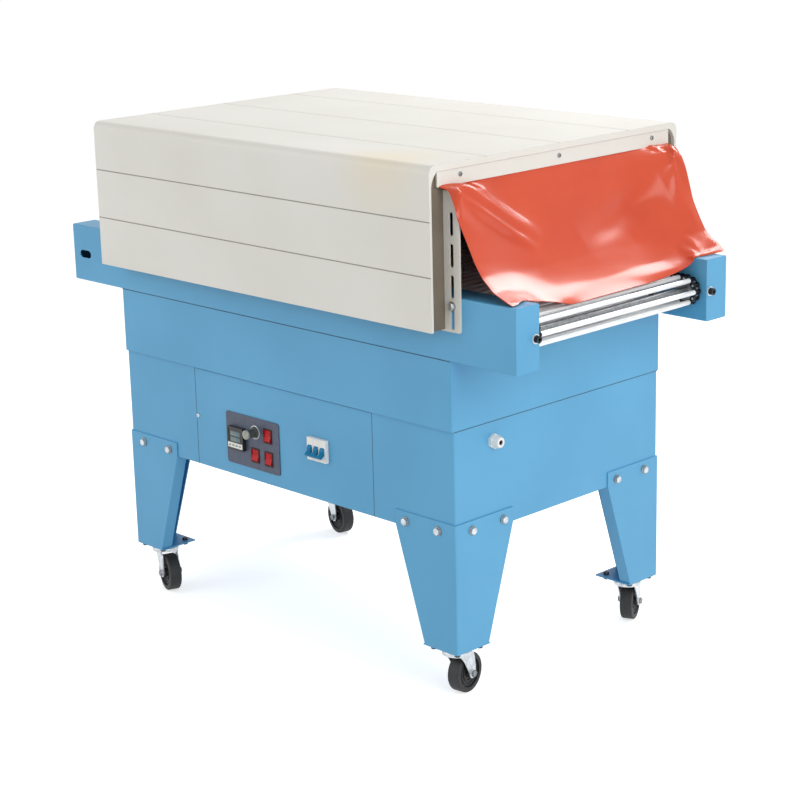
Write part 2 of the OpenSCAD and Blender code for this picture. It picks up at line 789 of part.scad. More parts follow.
module tension_bolts() {
    color("#3a3c3e") for (x = [-1, 1], y = [-1, 1])
        at_corner(x, y) tension_bolt();
}

module control_plate() {
    plate_r = 6;
    color("#585c73") on_front(panel_face, plate_t) difference() {
        translate(plate_at) rounded_rect(plate_w, plate_h, plate_r);
        control_cutouts();
    }
}

// Temperature controller: square bezel with a sunk display window, and the case behind it
module temperature_controller() {
    case_l = 60;
    bezel_r = 2;
    window_margin = 4;
    window_w = controller_w - 2 * window_margin;
    window_h = 29;
    window_rise = 6;
    window_depth = 1;
    color("#1d1e20") difference() {
        union() {
            on_front(plate_face, controller_proud)
                translate(controller_at) rounded_rect(controller_w, controller_w, bezel_r);
            on_front(plate_face + case_l, case_l)
                translate(controller_at) square(controller_neck, center = true);
        }
        on_front(plate_face - controller_proud + window_depth, window_depth + over)
            translate(controller_at + [0, window_rise]) square([window_w, window_h], center = true);
    }
}

// Knob with a skirt, a fluted grip with a pointer groove, and its shaft
module speed_knob() {
    skirt_l = 5;
    skirt_taper = 2;
    skirt_ledge = 3.5;
    grip_r = knob_d / 2 - skirt_ledge;
    flutes = 18;
    flute_r = 1;
    flute_out = 0.5;
    pointer_w = 1.2;
    pointer_depth = 1;
    shaft_l = 14;
    color("#b9bcc0") translate([knob_at[0], plate_face - turn_gap, knob_at[1]]) rotate([90, 0, 0]) {
        cylinder(h = skirt_l, d1 = knob_d, d2 = knob_d - skirt_taper);
        difference() {
            cylinder(h = knob_l, r = grip_r);
            for (i = [0:flutes - 1])
                rotate(i * 360 / flutes) translate([grip_r + flute_out, 0, skirt_l])
                    cylinder(h = knob_l, r = flute_r);
            translate([-pointer_w / 2, 0, knob_l - pointer_depth])
                cube([pointer_w, grip_r + over, pointer_depth + over]);
        }
        translate([0, 0, -shaft_l]) cylinder(h = shaft_l + over, r = knob_shaft_r);
    }
}

module rocker_bezel(at) {
    body_l = 20;
    bezel_r = 2;
    color("#7a1f1f") difference() {
        union() {
            on_front(plate_face, rocker_flange) translate(at) rounded_rect(rocker_w, rocker_h, bezel_r);
            on_front(plate_face + body_l, body_l) translate(at)
                square([rocker_in_w + 2 * rocker_wall, rocker_in_h + 2 * rocker_wall], center = true);
        }
        on_front(plate_face + body_l + over, body_l + rocker_flange + 2 * over) translate(at)
            square([rocker_in_w, rocker_in_h], center = true);
    }
}

module rocker_bezels() {
    for (at = rocker_at)
        rocker_bezel(at);
}

// Rocker: a drum with a hollow V front, drawn with its front to -Y and tilted to one side
module rocker(at) {
    front_dip = 2.6;
    back = 7;
    rise = rocker_r * tan(rocker_tilt);
    w = rocker_in_w - 2 * turn_gap;
    color("#c8242b") translate([at[0], plate_face - rocker_flange + rocker_pivot, at[1]])
        rotate([-rocker_tilt, 0, 0]) along_x(w) difference() {
            circle(rocker_r);
            polygon([[-front_dip, 0], [-front_dip - rise, rocker_r], [-2 * rocker_r, 2 * rocker_r],
                [-2 * rocker_r, -2 * rocker_r], [-front_dip - rise, -rocker_r]]);
            translate([back, -rocker_r]) square(2 * rocker_r);
        }
}

module upper_rocker() { rocker(rocker_at[0]); }
module left_rocker() { rocker(rocker_at[1]); }
module right_rocker() { rocker(rocker_at[2]); }

// Breaker's nose with a groove between poles and a round bed for each pole's toggle
module breaker() {
    groove = 0.8;
    bed_w = lever_w + 2 * turn_gap;
    color("#eeeeea") difference() {
        on_front(breaker_face + breaker_depth, breaker_depth) breaker_window(0);
        for (x = poles_x)
            translate([x - bed_w / 2, breaker_face + toggle_pivot, breaker_at[1]])
                rotate([0, 90, 0]) cylinder(h = bed_w, r = toggle_r + turn_gap);
        for (i = [1:poles - 1])
            translate([poles_x[i] - pole_w / 2 - groove / 2, breaker_face - over,
                breaker_at[1] - breaker_h / 2 - over])
                cube([groove, groove + over, breaker_h + 2 * over]);
    }
}

// Toggles: a drum with a lever for each pole, and a bar that joins the levers, tilted down
module breaker_toggle() {
    lever_t = 5;
    bar_l = 5;
    color("#0c6fa0") translate([0, breaker_face + toggle_pivot, breaker_at[1]])
        rotate([toggle_tilt, 0, 0]) {
            for (x = poles_x) {
                translate([x, 0, 0]) rotate([0, 90, 0]) cylinder(h = lever_w, r = toggle_r, center = true);
                translate([x - lever_w / 2, -toggle_reach, -lever_t / 2])
                    cube([lever_w, toggle_reach, lever_t]);
            }
            translate([poles_x[0] - lever_w / 2, -toggle_reach, -lever_t / 2])
                cube([poles_x[poles - 1] - poles_x[0] + lever_w, bar_l, lever_t]);
        }
}

// Cable gland on the exit side: hex body, tapered nut and cable hole
module cable_gland() {
    hex_l = 7;
    hex_r = 15;
    nut_l = 13;
    nut_r = 12.5;
    nose_r = 9.5;
    cable_d = 10;
    color("#f0f0ee") translate([lower_x, gland_inset - lower_y, cabinet_z + gland_rise])
        rotate([0, 90, 0]) difference() {
            union() {
                cylinder(h = hex_l, r = hex_r, $fn = 6);
                translate([0, 0, hex_l]) cylinder(h = nut_l, r1 = nut_r, r2 = nose_r);
            }
            translate([0, 0, hex_l]) cylinder(h = nut_l + over, d = cable_d);
        }
}

front_rail();
rear_rail();
upper_cabinet();
lower_cabinet();
access_panel();
leg_front_exit();
leg_front_entry();
leg_rear_exit();
leg_rear_entry();
caster_plates();
front_chamber_wall();
rear_chamber_wall();
chamber_roof();
front_lower_board();
front_middle_board();
front_shoulder_board();
top_front_board();
top_rear_board();
rear_shoulder_board();
rear_middle_board();
rear_lower_board();
slotted_strips();
exit_clamp_bar();
entry_clamp_bar();
exit_curtain();
entry_curtain();
front_chain();
rear_chain();
conveyor_rods();
exit_shaft();
entry_shaft();
tension_bolts();
control_plate();
temperature_controller();
rocker_bezels();
breaker();
cable_gland();
fork_front_exit();
fork_front_entry();
fork_rear_exit();
fork_rear_entry();
wheel_front_exit();
wheel_front_entry();
wheel_rear_exit();
wheel_rear_entry();
speed_knob();
upper_rocker();
left_rocker();
right_rocker();
breaker_toggle();
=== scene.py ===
# %% [markdown]
# # Heat shrink tunnel
# A blue cabinet on casters carries two rails with a rod conveyor between them, and an insulated hood sits
# over the middle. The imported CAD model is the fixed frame: its nodes stay where they are and only get a
# finish. Everything added here is modelled in metres in that same frame and rides on one of its bodies.

# %% Load the frame
import json
import math

import bpy
from mathutils import Matrix, Vector

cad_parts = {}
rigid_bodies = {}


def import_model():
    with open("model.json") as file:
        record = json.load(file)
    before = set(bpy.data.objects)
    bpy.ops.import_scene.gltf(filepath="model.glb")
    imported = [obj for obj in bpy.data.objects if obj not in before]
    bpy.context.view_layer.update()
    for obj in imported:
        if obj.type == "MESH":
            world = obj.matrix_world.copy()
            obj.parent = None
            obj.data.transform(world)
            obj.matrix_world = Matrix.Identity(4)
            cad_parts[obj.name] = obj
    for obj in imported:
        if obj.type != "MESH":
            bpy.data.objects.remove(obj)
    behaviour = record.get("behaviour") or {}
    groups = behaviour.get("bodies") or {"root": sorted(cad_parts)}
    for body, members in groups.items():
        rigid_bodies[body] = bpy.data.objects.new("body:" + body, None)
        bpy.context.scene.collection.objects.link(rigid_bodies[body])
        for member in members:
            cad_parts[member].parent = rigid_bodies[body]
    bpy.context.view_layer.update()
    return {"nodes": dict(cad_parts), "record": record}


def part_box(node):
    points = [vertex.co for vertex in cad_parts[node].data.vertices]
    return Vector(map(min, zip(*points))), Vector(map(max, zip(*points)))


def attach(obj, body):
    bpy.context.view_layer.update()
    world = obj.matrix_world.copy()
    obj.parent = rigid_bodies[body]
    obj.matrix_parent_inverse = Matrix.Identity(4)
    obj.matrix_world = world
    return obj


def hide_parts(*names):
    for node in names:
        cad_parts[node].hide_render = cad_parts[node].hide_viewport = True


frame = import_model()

nodes = frame["nodes"]

# %% [markdown]
# ## Camera
# The view is that of a long lens from the front right, a little above the hood. A camera is an object whose
# local -Z looks forward. A constraint could aim it, but it also has a small roll, so its turn is built from
# three directions: right, up and back.

# %% Camera
IMAGE_SIZE = 800
FOCAL_PIXELS = 2073.7
SENSOR = 36.0
AZIMUTH, ELEVATION, ROLL = (math.radians(a) for a in (45.819, 15.445, -1.417))
AIM = Vector((0.042, 0.003, 0.460))
DISTANCE = 4.321

level = Vector((math.cos(AZIMUTH), math.sin(AZIMUTH), 0))
ahead = Vector((-math.sin(AZIMUTH), math.cos(AZIMUTH), 0))
back = math.sin(ELEVATION) * Vector((0, 0, 1)) - math.cos(ELEVATION) * ahead
upright = back.cross(level)
right = math.cos(ROLL) * level + math.sin(ROLL) * upright
up = math.cos(ROLL) * upright - math.sin(ROLL) * level

camera = bpy.data.objects.new("camera", bpy.data.cameras.new("camera"))
bpy.context.scene.collection.objects.link(camera)
facing = Matrix((right, up, back)).transposed().to_4x4()
camera.matrix_world = Matrix.Translation(AIM + DISTANCE * back) @ facing
camera.data.sensor_width = SENSOR
camera.data.lens = FOCAL_PIXELS / IMAGE_SIZE * SENSOR
camera.data.clip_end = 50
bpy.context.scene.camera = camera
print("camera at", [round(c, 3) for c in camera.location], "lens", round(camera.data.lens, 2))

# %% [markdown]
# ## Materials
# Every finish is a Principled shader with its colour, roughness and bump worked out by nodes on Object
# coordinates. A flat colour would be quicker, but real coats drift in shade and gloss. One function turns a
# written sRGB colour into the linear one that shaders use, and one adds a node with its links.

# %% Material helpers
MM = 0.001


def linear(code):
    """Linear RGBA of an sRGB hex colour such as #62a3cb."""
    channels = [int(code[i:i + 2], 16) / 255 for i in (1, 3, 5)]
    return [c / 12.92 if c <= 0.04045 else ((c + 0.055) / 1.055) ** 2.4 for c in channels] + [1.0]


def add(owner, kind, settings=None, links=None):
    """Adds a node to a material or world, with its properties, socket values and links, and returns it."""
    node = owner.node_tree.nodes.new("ShaderNode" + kind)
    for key, value in (settings or {}).items():
        if isinstance(key, int) or key in node.inputs:
            node.inputs[key].default_value = value
        else:
            setattr(node, key, value)
    for key, socket in (links or {}).items():
        owner.node_tree.links.new(socket, node.inputs[key])
    return node


def new_material(name, **sockets):
    """An empty node material with one Principled shader whose sockets are set to constants."""
    material = bpy.data.materials.new(name)
    material.use_nodes = True
    shader = material.node_tree.nodes["Principled BSDF"]
    for key, value in sockets.items():
        shader.inputs[key.replace("_", " ")].default_value = value
    place = add(material, "TexCoord").outputs["Object"]
    return material, shader, place


def mottle(material, shader, place, colours, size_mm):
    """Lets the base colour drift between two shades over patches of about the given size."""
    patches = add(material, "TexNoise", {"Scale": 1 / (size_mm * MM), "Detail": 4.0}, {"Vector": place})
    shades = add(material, "ValToRGB", {}, {"Fac": patches.outputs["Fac"]})
    shades.color_ramp.elements[0].position, shades.color_ramp.elements[1].position = 0.35, 0.65
    for element, colour in zip(shades.color_ramp.elements, colours):
        element.color = linear(colour)
    material.node_tree.links.new(shades.outputs["Color"], shader.inputs["Base Color"])
    return patches


def grit(material, shader, place, size_mm, depth_mm, edge_mm=0.0):
    """Raises a fine grain of the given size and depth, over edges softened by a small radius."""
    height = add(material, "TexNoise", {"Scale": 1 / (size_mm * MM)}, {"Vector": place}).outputs["Fac"]
    bump = add(material, "Bump", {"Strength": 0.6, "Distance": depth_mm * MM}, {"Height": height})
    if edge_mm:
        soft = add(material, "Bevel", {"samples": 4, "Radius": edge_mm * MM})
        material.node_tree.links.new(soft.outputs["Normal"], bump.inputs["Normal"])
    material.node_tree.links.new(bump.outputs["Normal"], shader.inputs["Normal"])


def worn_roughness(material, shader, source, low, high):
    """Lets the gloss change a little with a pattern."""
    span = add(material, "MapRange", {"To Min": low, "To Max": high}, {"Value": source.outputs["Fac"]})
    material.node_tree.links.new(span.outputs["Result"], shader.inputs["Roughness"])


print("mid grey in linear light:", round(linear("#808080")[0], 4))

# %% [markdown]
# ### Coated sheet
# The cabinet, rails and legs are bent steel sheet with a satin blue powder coat: the powder melts into a
# skin with a faint orange-peel ripple, and every bend is a small radius, so edges catch a soft line of
# light. The hood's boards have the same kind of coat in cream, and the chamber's ends a warm taupe one.
# Near the exit a warm highlight is painted into the colour of one board. A painted mask could do that, but a
# distance from one point is enough.

# %% Coated sheet
def powder_coat(name, shades, patch_mm, gloss):
    # A melted coat gives the eye an even colour with a slow drift, a soft sheen and a ripple of about 1.5 mm.
    material, shader, place = new_material(name, IOR=1.5)
    patches = mottle(material, shader, place, shades, patch_mm)
    worn_roughness(material, shader, patches, gloss - 0.04, gloss + 0.05)
    grit(material, shader, place, 1.5, 0.02, edge_mm=1.5)
    return material


def painted_warm_highlight(material, centre, reach, colour):
    """Paints a warm highlight into a coat's colour round a point."""
    shader = material.node_tree.nodes["Principled BSDF"]
    place = add(material, "TexCoord").outputs["Object"]
    away = add(material, "VectorMath", {"operation": "DISTANCE", 1: centre}, {0: place})
    share = add(material, "MapRange", {"From Max": reach, "To Min": 0.55, "To Max": 0.0},
                {"Value": away.outputs["Value"]})
    fresh = shader.inputs["Base Color"].links[0].from_socket
    highlight_mix = add(material, "MixRGB", {"Color2": linear(colour)},
               {"Fac": share.outputs["Result"], "Color1": fresh})
    material.node_tree.links.new(highlight_mix.outputs["Color"], shader.inputs["Base Color"])


CREAM = ("#dddbd3", "#e4e2db")
blue_coat = powder_coat("powder_coated_steel_blue", ("#549fca", "#5ba7d1"), 260, 0.42)
cream_coat = powder_coat("coated_board_cream", CREAM, 320, 0.5)
# The front shoulder board's cream gets a warm highlight painted into it round a point near the exit.
cream_coat_painted_highlight = powder_coat("coated_board_cream_painted_highlight", CREAM, 320, 0.5)
painted_warm_highlight(cream_coat_painted_highlight, (0.36, -0.325, 1.04), 0.13, "#ead9b4")
taupe_coat = powder_coat("coated_chamber_taupe", ("#6a6053", "#766b5d"), 140, 0.55)
print("coats:", [coat.name for coat in (blue_coat, cream_coat, cream_coat_painted_highlight, taupe_coat)])

# %% [markdown]
# ### Metals
# Caster plates, forks and most bolts are zinc-plated, which looks grey-white with cloudy patches. The rods
# are bright drawn tube, the shafts and their sprockets turned steel, and the chain is dark with a film of
# oil. Each could be set up by itself, but they differ only in shade, gloss and size of the clouds, so one
# recipe makes them all.

# %% Metals
def plated_metal(name, shades, gloss, cloud_mm, mirror=1.0):
    # Plating gives the eye a metal mirror blurred by cloudy patches a few millimetres across.
    material, shader, place = new_material(name, Metallic=mirror)
    clouds = mottle(material, shader, place, shades, cloud_mm)
    worn_roughness(material, shader, clouds, gloss - 0.08, gloss + 0.1)
    grit(material, shader, place, 0.8, 0.01, edge_mm=0.4)
    return material


dull_steel = plated_metal("passivated_screw_steel", ("#7c7f80", "#94979a"), 0.4, 5)
zinc = plated_metal("zinc_plated_steel", ("#b9bdc0", "#d3d6d8"), 0.34, 9)
rod_steel = plated_metal("drawn_bright_tube", ("#e8eaeb", "#f2f3f3"), 0.42, 30, mirror=0.3)
shaft_steel = plated_metal("turned_shaft_steel", ("#8b8e91", "#a3a6a8"), 0.4, 8)
chain_steel = plated_metal("oiled_chain_steel", ("#2c2d2f", "#45474a"), 0.42, 5)
print("metals:", zinc.name, rod_steel.name, chain_steel.name)

# %% [markdown]
# ### Plastics and rubber
# Knob, switches, breaker, controller and gland are moulded plastic with a fine spark-eroded grain, and the
# tyres are moulded rubber. One recipe with other shades, gloss and grain makes them, and it also serves for
# the printed film of the control plate, the display glass and the grey strips of painted shade in the
# grooves between the boards. The tyres' black also paints the shade in the seams.

# %% Plastics and rubber
def moulded(name, shades, gloss, grain_mm=0.5, depth_mm=0.015, shine=0.5):
    # A mould's fine grain breaks up the highlight, and the colour goes right through, so it is nearly even.
    material, shader, place = new_material(name, IOR=1.5, Specular_IOR_Level=shine)
    patches = mottle(material, shader, place, shades, 12)
    worn_roughness(material, shader, patches, gloss - 0.05, gloss + 0.05)
    grit(material, shader, place, grain_mm, depth_mm, edge_mm=0.3)
    return material


slate_film = moulded("printed_film_slate", ("#4b5265", "#545b6e"), 0.38, shine=0.35)
black_abs = moulded("moulded_abs_black", ("#17181a", "#1f2022"), 0.34)
red_nylon = moulded("moulded_nylon_red", ("#b30a14", "#c1121c"), 0.24, shine=0.15)
dark_red_nylon = moulded("moulded_nylon_dark_red", ("#3c0c0e", "#4a1012"), 0.36, shine=0.2)
white_nylon = moulded("moulded_nylon_white", ("#e9e9e5", "#f1f1ee"), 0.4)
blue_nylon = moulded("moulded_nylon_blue", ("#026f9c", "#057dac"), 0.35, shine=0.2)
knob_grey = moulded("moulded_abs_knob_grey", ("#474a48", "#535654"), 0.36)
# Grey for strips that paint the shade in the V grooves between the boards
groove_shade_grey = moulded("painted_groove_shade_grey", ("#8f8d83", "#9a988e"), 0.6)
grey_nylon = moulded("moulded_nylon_grey", ("#9a9b92", "#a6a79e"), 0.4)
display_glass = moulded("display_glass_green", ("#566b6e", "#667c7e"), 0.16)
tyre_rubber = moulded("tyre_rubber_black", ("#1c1c1d", "#272728"), 0.6, 0.9, 0.04)
print("materials so far:", len(bpy.data.materials))

# %% [markdown]
# ### Silicone cloth
# The curtains are glass cloth coated with orange-red silicone: a glossy skin that shows the threads under
# it as a faint grain. A woven pattern could be drawn thread by thread, but from a few metres only the grain
# reads. The real threads lie about 0.6 mm apart, and the grain is drawn at 1.6 mm so that it shows.

# %% Silicone cloth
def silicone_cloth():
    # A smooth rubbery skin over threads: strong soft highlights, a slow drift of colour and a faint grain.
    material, shader, place = new_material("silicone_coated_cloth", IOR=1.43, Coat_Weight=0.3,
                                           Coat_Roughness=0.14)
    patches = mottle(material, shader, place, ("#ca4118", "#d1481e"), 140)
    worn_roughness(material, shader, patches, 0.2, 0.28)
    grit(material, shader, place, 1.6, 0.012)
    return material


silicone = silicone_cloth()
print("sheet finish:", silicone.name)

# %% [markdown]
# ### Finishes on the CAD nodes
# The nodes arrive with a plain colour each. They could be dressed one by one, but a table from finish to
# nodes keeps the choice in one place, and a set difference then shows any node that was forgotten.

# %% Finish of every CAD node
FINISH = {
    blue_coat: ["front_rail", "rear_rail", "upper_cabinet", "lower_cabinet", "access_panel",
                "leg_front_exit", "leg_front_entry", "leg_rear_exit", "leg_rear_entry"],
    cream_coat: ["front_lower_board", "front_middle_board", "top_front_board", "top_rear_board",
                 "rear_shoulder_board", "rear_middle_board", "rear_lower_board",
                 "slotted_strips", "exit_clamp_bar", "entry_clamp_bar"],
    # The front shoulder board carries the painted warm highlight.
    cream_coat_painted_highlight: ["front_shoulder_board"],
    taupe_coat: ["front_chamber_wall", "rear_chamber_wall", "chamber_roof"],
    zinc: ["caster_plates", "fork_front_exit", "fork_front_entry", "fork_rear_exit", "fork_rear_entry"],
    rod_steel: ["conveyor_rods"],
    chain_steel: ["front_chain", "rear_chain", "tension_bolts"],
    shaft_steel: ["exit_shaft", "entry_shaft"],
    slate_film: ["control_plate"],
    black_abs: ["temperature_controller"],
    red_nylon: ["upper_rocker", "left_rocker", "right_rocker"],
    dark_red_nylon: ["rocker_bezels"],
    white_nylon: ["breaker", "cable_gland"],
    blue_nylon: ["breaker_toggle"],
    knob_grey: ["speed_knob"],
    tyre_rubber: ["wheel_front_exit", "wheel_front_entry", "wheel_rear_exit", "wheel_rear_entry"],
    silicone: ["exit_curtain", "entry_curtain"],
}
for finish, names in FINISH.items():
    for name in names:
        nodes[name].data.materials.clear()
        nodes[name].data.materials.append(finish)
left = sorted(set(nodes) - {name for names in FINISH.values() for name in names})
print("nodes with no finish:", left)

# %% [markdown]
# ## Curtains
# A curtain is a cut rectangle of silicone-coated glass cloth, held along its top edge by the clamp bar. At
# the exit the conveyor has dragged its foot outwards: the corners ride up on the rails and the middle lies
# on the rods. At the entry the goods push it inwards, between the strips. Such a sheet could be drawn by
# hand, but its soft buckles come from spare width, so a cloth simulation finds them: the sheet starts near
# its place, keeps the lengths of the flat cut and settles.

# %% Cut size and starting place of a sheet
SHEET_W, SHEET_L = 0.645, 0.293
CLAMPED, SKEW = 0.0235, 0.004
CLAMP_FOOT = 0.997
CORE_HALF = 0.15
STRIP_Y, STRIP_X, STRIP_TOP = 0.3035, 0.5195, 0.990
STRIP_ROOM, STRIP_LIFT = 0.006, 0.0025

# Lines from the clamp bar down to the foot, along the middle of the sheet and along its two side edges
EXIT_MIDDLE = [(0.4815, 0, 0.997), (0.493, 0, 0.955), (0.517, 0, 0.893),
               (0.551, 0, 0.832), (0.583, 0, 0.792), (0.614, 0, 0.7685)]
EXIT_FRONT = [(0.4815, -0.3225, 0.997), (0.503, -0.3115, 0.991), (0.514, -0.311, 0.966),
              (0.521, -0.3105, 0.942), (0.531, -0.2995, 0.903), (0.551, -0.2985, 0.864),
              (0.567, -0.298, 0.841), (0.593, -0.298, 0.818), (0.637, -0.2985, 0.7995)]
EXIT_REAR = [(0.4815, 0.3225, 0.997), (0.512, 0.322, 0.994), (0.533, 0.321, 0.958),
             (0.553, 0.320, 0.893), (0.567, 0.320, 0.866), (0.584, 0.320, 0.837),
             (0.599, 0.320, 0.825), (0.613, 0.320, 0.817), (0.632, 0.321, 0.803)]
ENTRY_SHIFT = Vector((-0.963, 0, 0))
ENTRY_MIDDLE = [Vector(point) + ENTRY_SHIFT for point in EXIT_MIDDLE]
ENTRY_REAR = [(-0.4815, 0.3225, 0.997), (-0.4795, 0.299, 0.9915), (-0.470, 0.2985, 0.955),
              (-0.440, 0.2985, 0.895), (-0.406, 0.298, 0.845), (-0.370, 0.298, 0.815),
              (-0.340, 0.2985, 0.7995)]
ENTRY_FRONT = [(x, -y, z) for x, y, z in ENTRY_REAR]


def along(points, length):
    """The point of a run of straight pieces that lies the given length from its start, or past its end."""
    for a, b in zip(points, points[1:]):
        step = math.dist(a, b)
        if length <= step or b == points[-1]:
            return Vector(a).lerp(Vector(b), length / step)
        length -= step


def eased(value, low, high):
    """0 below low, 1 above high, and a soft rise between."""
    t = min(1, max(0, (value - low) / (high - low)))
    return t * t * (3 - 2 * t)


def clamped(across):
    """Height of the strip under the clamp bar, which holds the sheet a little askew."""
    return CLAMPED + SKEW * across / (SHEET_W / 2)


def start_place(runs, across, down):
    """Where a point of the flat cut lies before the sheet settles, by its way across and down."""
    middle, front, rear = runs
    free = down - clamped(across)
    if free <= 0:
        return Vector((middle[0][0], across, CLAMP_FOOT - free))
    core = along(middle, free)
    edge = along(front if across < 0 else rear, free)
    place = core.lerp(edge, eased(abs(across), CORE_HALF, SHEET_W / 2))
    place.y = across * abs(edge.y) / (SHEET_W / 2)
    if place.x > 0 and abs(abs(place.y) - STRIP_Y) < STRIP_ROOM and place.z < STRIP_TOP + STRIP_LIFT:
        place.x = max(place.x, STRIP_X + STRIP_LIFT)
    return place


print("free length of the sheet:", [round(SHEET_L - clamped(y), 4) for y in (-SHEET_W / 2, SHEET_W / 2)], "m")

# %% Cutting and pinning the sheet
GRID = (108, 48)
GRIP_ROOM, EDGE_BAND = 0.001, 0.006
SIDE_HOLD, FOOT_HOLD = 0.85, 0.5


def cut_sheet(name, runs):
    """A flat grid of the cut size, moved to its starting place, with the flat cut kept as a shape key."""
    bpy.ops.object.select_all(action="DESELECT")
    bpy.ops.mesh.primitive_grid_add(x_subdivisions=GRID[0], y_subdivisions=GRID[1], size=1)
    sheet = bpy.context.object
    sheet.name = name
    sheet.scale = (SHEET_W, SHEET_L, 1)
    bpy.ops.object.transform_apply(scale=True)
    cut = [v.co.copy() for v in sheet.data.vertices]
    for vertex in sheet.data.vertices:
        vertex.co = start_place(runs, vertex.co.x, SHEET_L / 2 - vertex.co.y)
    sheet.shape_key_add(name="hung")
    flat = sheet.shape_key_add(name="cut")
    for point, co in zip(flat.data, cut):
        point.co = co
    held = sheet.vertex_groups.new(name="held")
    for i, co in enumerate(cut):
        down = SHEET_L / 2 - co.y
        side = SHEET_W / 2 - abs(co.x)
        if down <= clamped(co.x) + GRIP_ROOM:
            held.add([i], 1.0, "REPLACE")
        elif side < EDGE_BAND:
            held.add([i], SIDE_HOLD, "REPLACE")
        elif SHEET_L - down < EDGE_BAND:
            held.add([i], FOOT_HOLD, "REPLACE")
    return sheet


print("cells of the sheet:", GRID, "each", round(SHEET_W / GRID[0] / MM, 2), "mm wide")

# %% Stops and settling
FRAMES = 40
CLOTH_GAP = 0.001


def collider(low, high):
    """A plain box that stops the cloth while it settles."""
    bpy.ops.object.select_all(action="DESELECT")
    bpy.ops.mesh.primitive_cube_add(size=1, location=[(a + b) / 2 for a, b in zip(low, high)])
    box = bpy.context.object
    box.scale = [b - a for a, b in zip(low, high)]
    bpy.ops.object.transform_apply(location=True, scale=True)
    box.modifiers.new("stop", "COLLISION")
    box.collision.thickness_outer = CLOTH_GAP
    box.collision.cloth_friction = 40
    return box


def settle(sheet):
    """Lets the cloth settle and returns its last shape as a plain mesh."""
    cloth = sheet.modifiers.new("cloth", "CLOTH")
    soft = cloth.settings
    soft.quality = 8
    soft.mass = 0.03
    soft.tension_stiffness = soft.compression_stiffness = 40
    soft.shear_stiffness = 20
    soft.bending_stiffness = 20.0
    soft.air_damping = 4
    soft.vertex_group_mass = "held"
    soft.pin_stiffness = 1.0
    soft.rest_shape_key = sheet.data.shape_keys.key_blocks["cut"]
    cloth.collision_settings.distance_min = CLOTH_GAP
    cloth.point_cache.frame_end = FRAMES
    for step in range(1, FRAMES + 1):
        bpy.context.scene.frame_set(step)
    settled = bpy.data.meshes.new_from_object(sheet.evaluated_get(bpy.context.evaluated_depsgraph_get()))
    bpy.context.scene.frame_set(1)
    return settled


print("frames to settle:", FRAMES)

# %% [markdown]
# ### Folds
# At the front corner the real sheet is pulled into two long folds, and elsewhere it lies smoother than the
# settled cloth. A finer grid might find such folds, but it would settle slowly. So small buckles are evened
# out by a Smooth modifier on a vertex group, and the folds are raised along lines on the flat cut, read
# from the UV map.

# %% Evening out and folding
RAIL_IN, RAIL_OUT, RAIL_LIFT = 0.239, 0.304, 0.0015
RAIL_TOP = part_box("rear_rail")[1][2]
CALM_PASSES = 120
FOLD_OPEN = 0.1


def cut_places(mesh):
    """Each vertex's place on the flat cut: across from the middle, down from the top edge."""
    places = {}
    for loop, mark in zip(mesh.loops, mesh.uv_layers.active.data):
        places[loop.vertex_index] = Vector(((mark.uv.x - 0.5) * SHEET_W, (1 - mark.uv.y) * SHEET_L))
    return places


def even_out(piece, spots):
    """Smooths the buckles round spots of the flat cut, each with its reach, and keeps off the rails."""
    calm = piece.vertex_groups.new(name="calm")
    for i, place in cut_places(piece.data).items():
        share = max(eased(reach - (place - Vector(spot)).length, 0, reach) for spot, reach in spots)
        if share > 0:
            calm.add([i], share, "REPLACE")
    even = piece.modifiers.new("even", "SMOOTH")
    even.vertex_group, even.factor, even.iterations = "calm", 0.5, CALM_PASSES
    bpy.ops.object.modifier_apply(modifier="even")
    for vertex in piece.data.vertices:
        if RAIL_IN < abs(vertex.co.y) < RAIL_OUT:
            vertex.co.z = max(vertex.co.z, RAIL_TOP + RAIL_LIFT)


def press_folds(mesh, folds):
    """Raises soft folds along lines on the flat cut, each with a start, an end, a height and a width."""
    places = cut_places(mesh)
    normals = [item.vector.copy() for item in mesh.vertex_normals]
    for vertex, normal in zip(mesh.vertices, normals):
        lift = 0
        for start, end, height, width in folds:
            line = Vector(end) - Vector(start)
            offset = places[vertex.index] - Vector(start)
            t = min(1, max(0, offset.dot(line) / line.length_squared))
            gap = (offset - t * line).length
            fade = math.sin(math.pi * (FOLD_OPEN + (1 - FOLD_OPEN) * t))
            lift += height * fade * math.exp(-(gap / width) ** 2)
        vertex.co += lift * normal


print("rail top:", round(RAIL_TOP, 4), "m, passes over each calm spot:", CALM_PASSES)

# %% Thickness and hanging
SHEET_T = 0.0016
ENDS = SIDES = (-1, 1)
STOP_FOOT = 0.70
ROD_HALF, ROD_TOP = 0.2405, 0.7655
RAIL_SPAN_Y, RAIL_STOP = (0.241, 0.302), 0.7975
STRIP_SPAN_X, STRIP_SPAN_Y, STRIP_FOOT = (0.4705, 0.5195), (0.302, 0.305), 0.733


def finish_sheet(name, mesh, spots, folds, node):
    """The settled cloth with a smooth surface, folds and its real thickness, standing for the CAD node."""
    bpy.ops.object.select_all(action="DESELECT")
    piece = bpy.data.objects.new(name, mesh)
    bpy.context.scene.collection.objects.link(piece)
    bpy.context.view_layer.objects.active = piece
    piece.select_set(True)
    mesh.materials.append(silicone)
    even_out(piece, spots)
    smooth = piece.modifiers.new("smooth", "SUBSURF")
    smooth.levels = smooth.render_levels = 1
    bpy.ops.object.modifier_apply(modifier="smooth")
    press_folds(piece.data, folds)
    wall = piece.modifiers.new("wall", "SOLIDIFY")
    wall.thickness, wall.offset = SHEET_T, 0.0
    bpy.ops.object.modifier_apply(modifier="wall")
    bpy.ops.object.shade_smooth_by_angle(angle=math.radians(50))
    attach(piece, "chassis")
    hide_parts(node)
    return piece


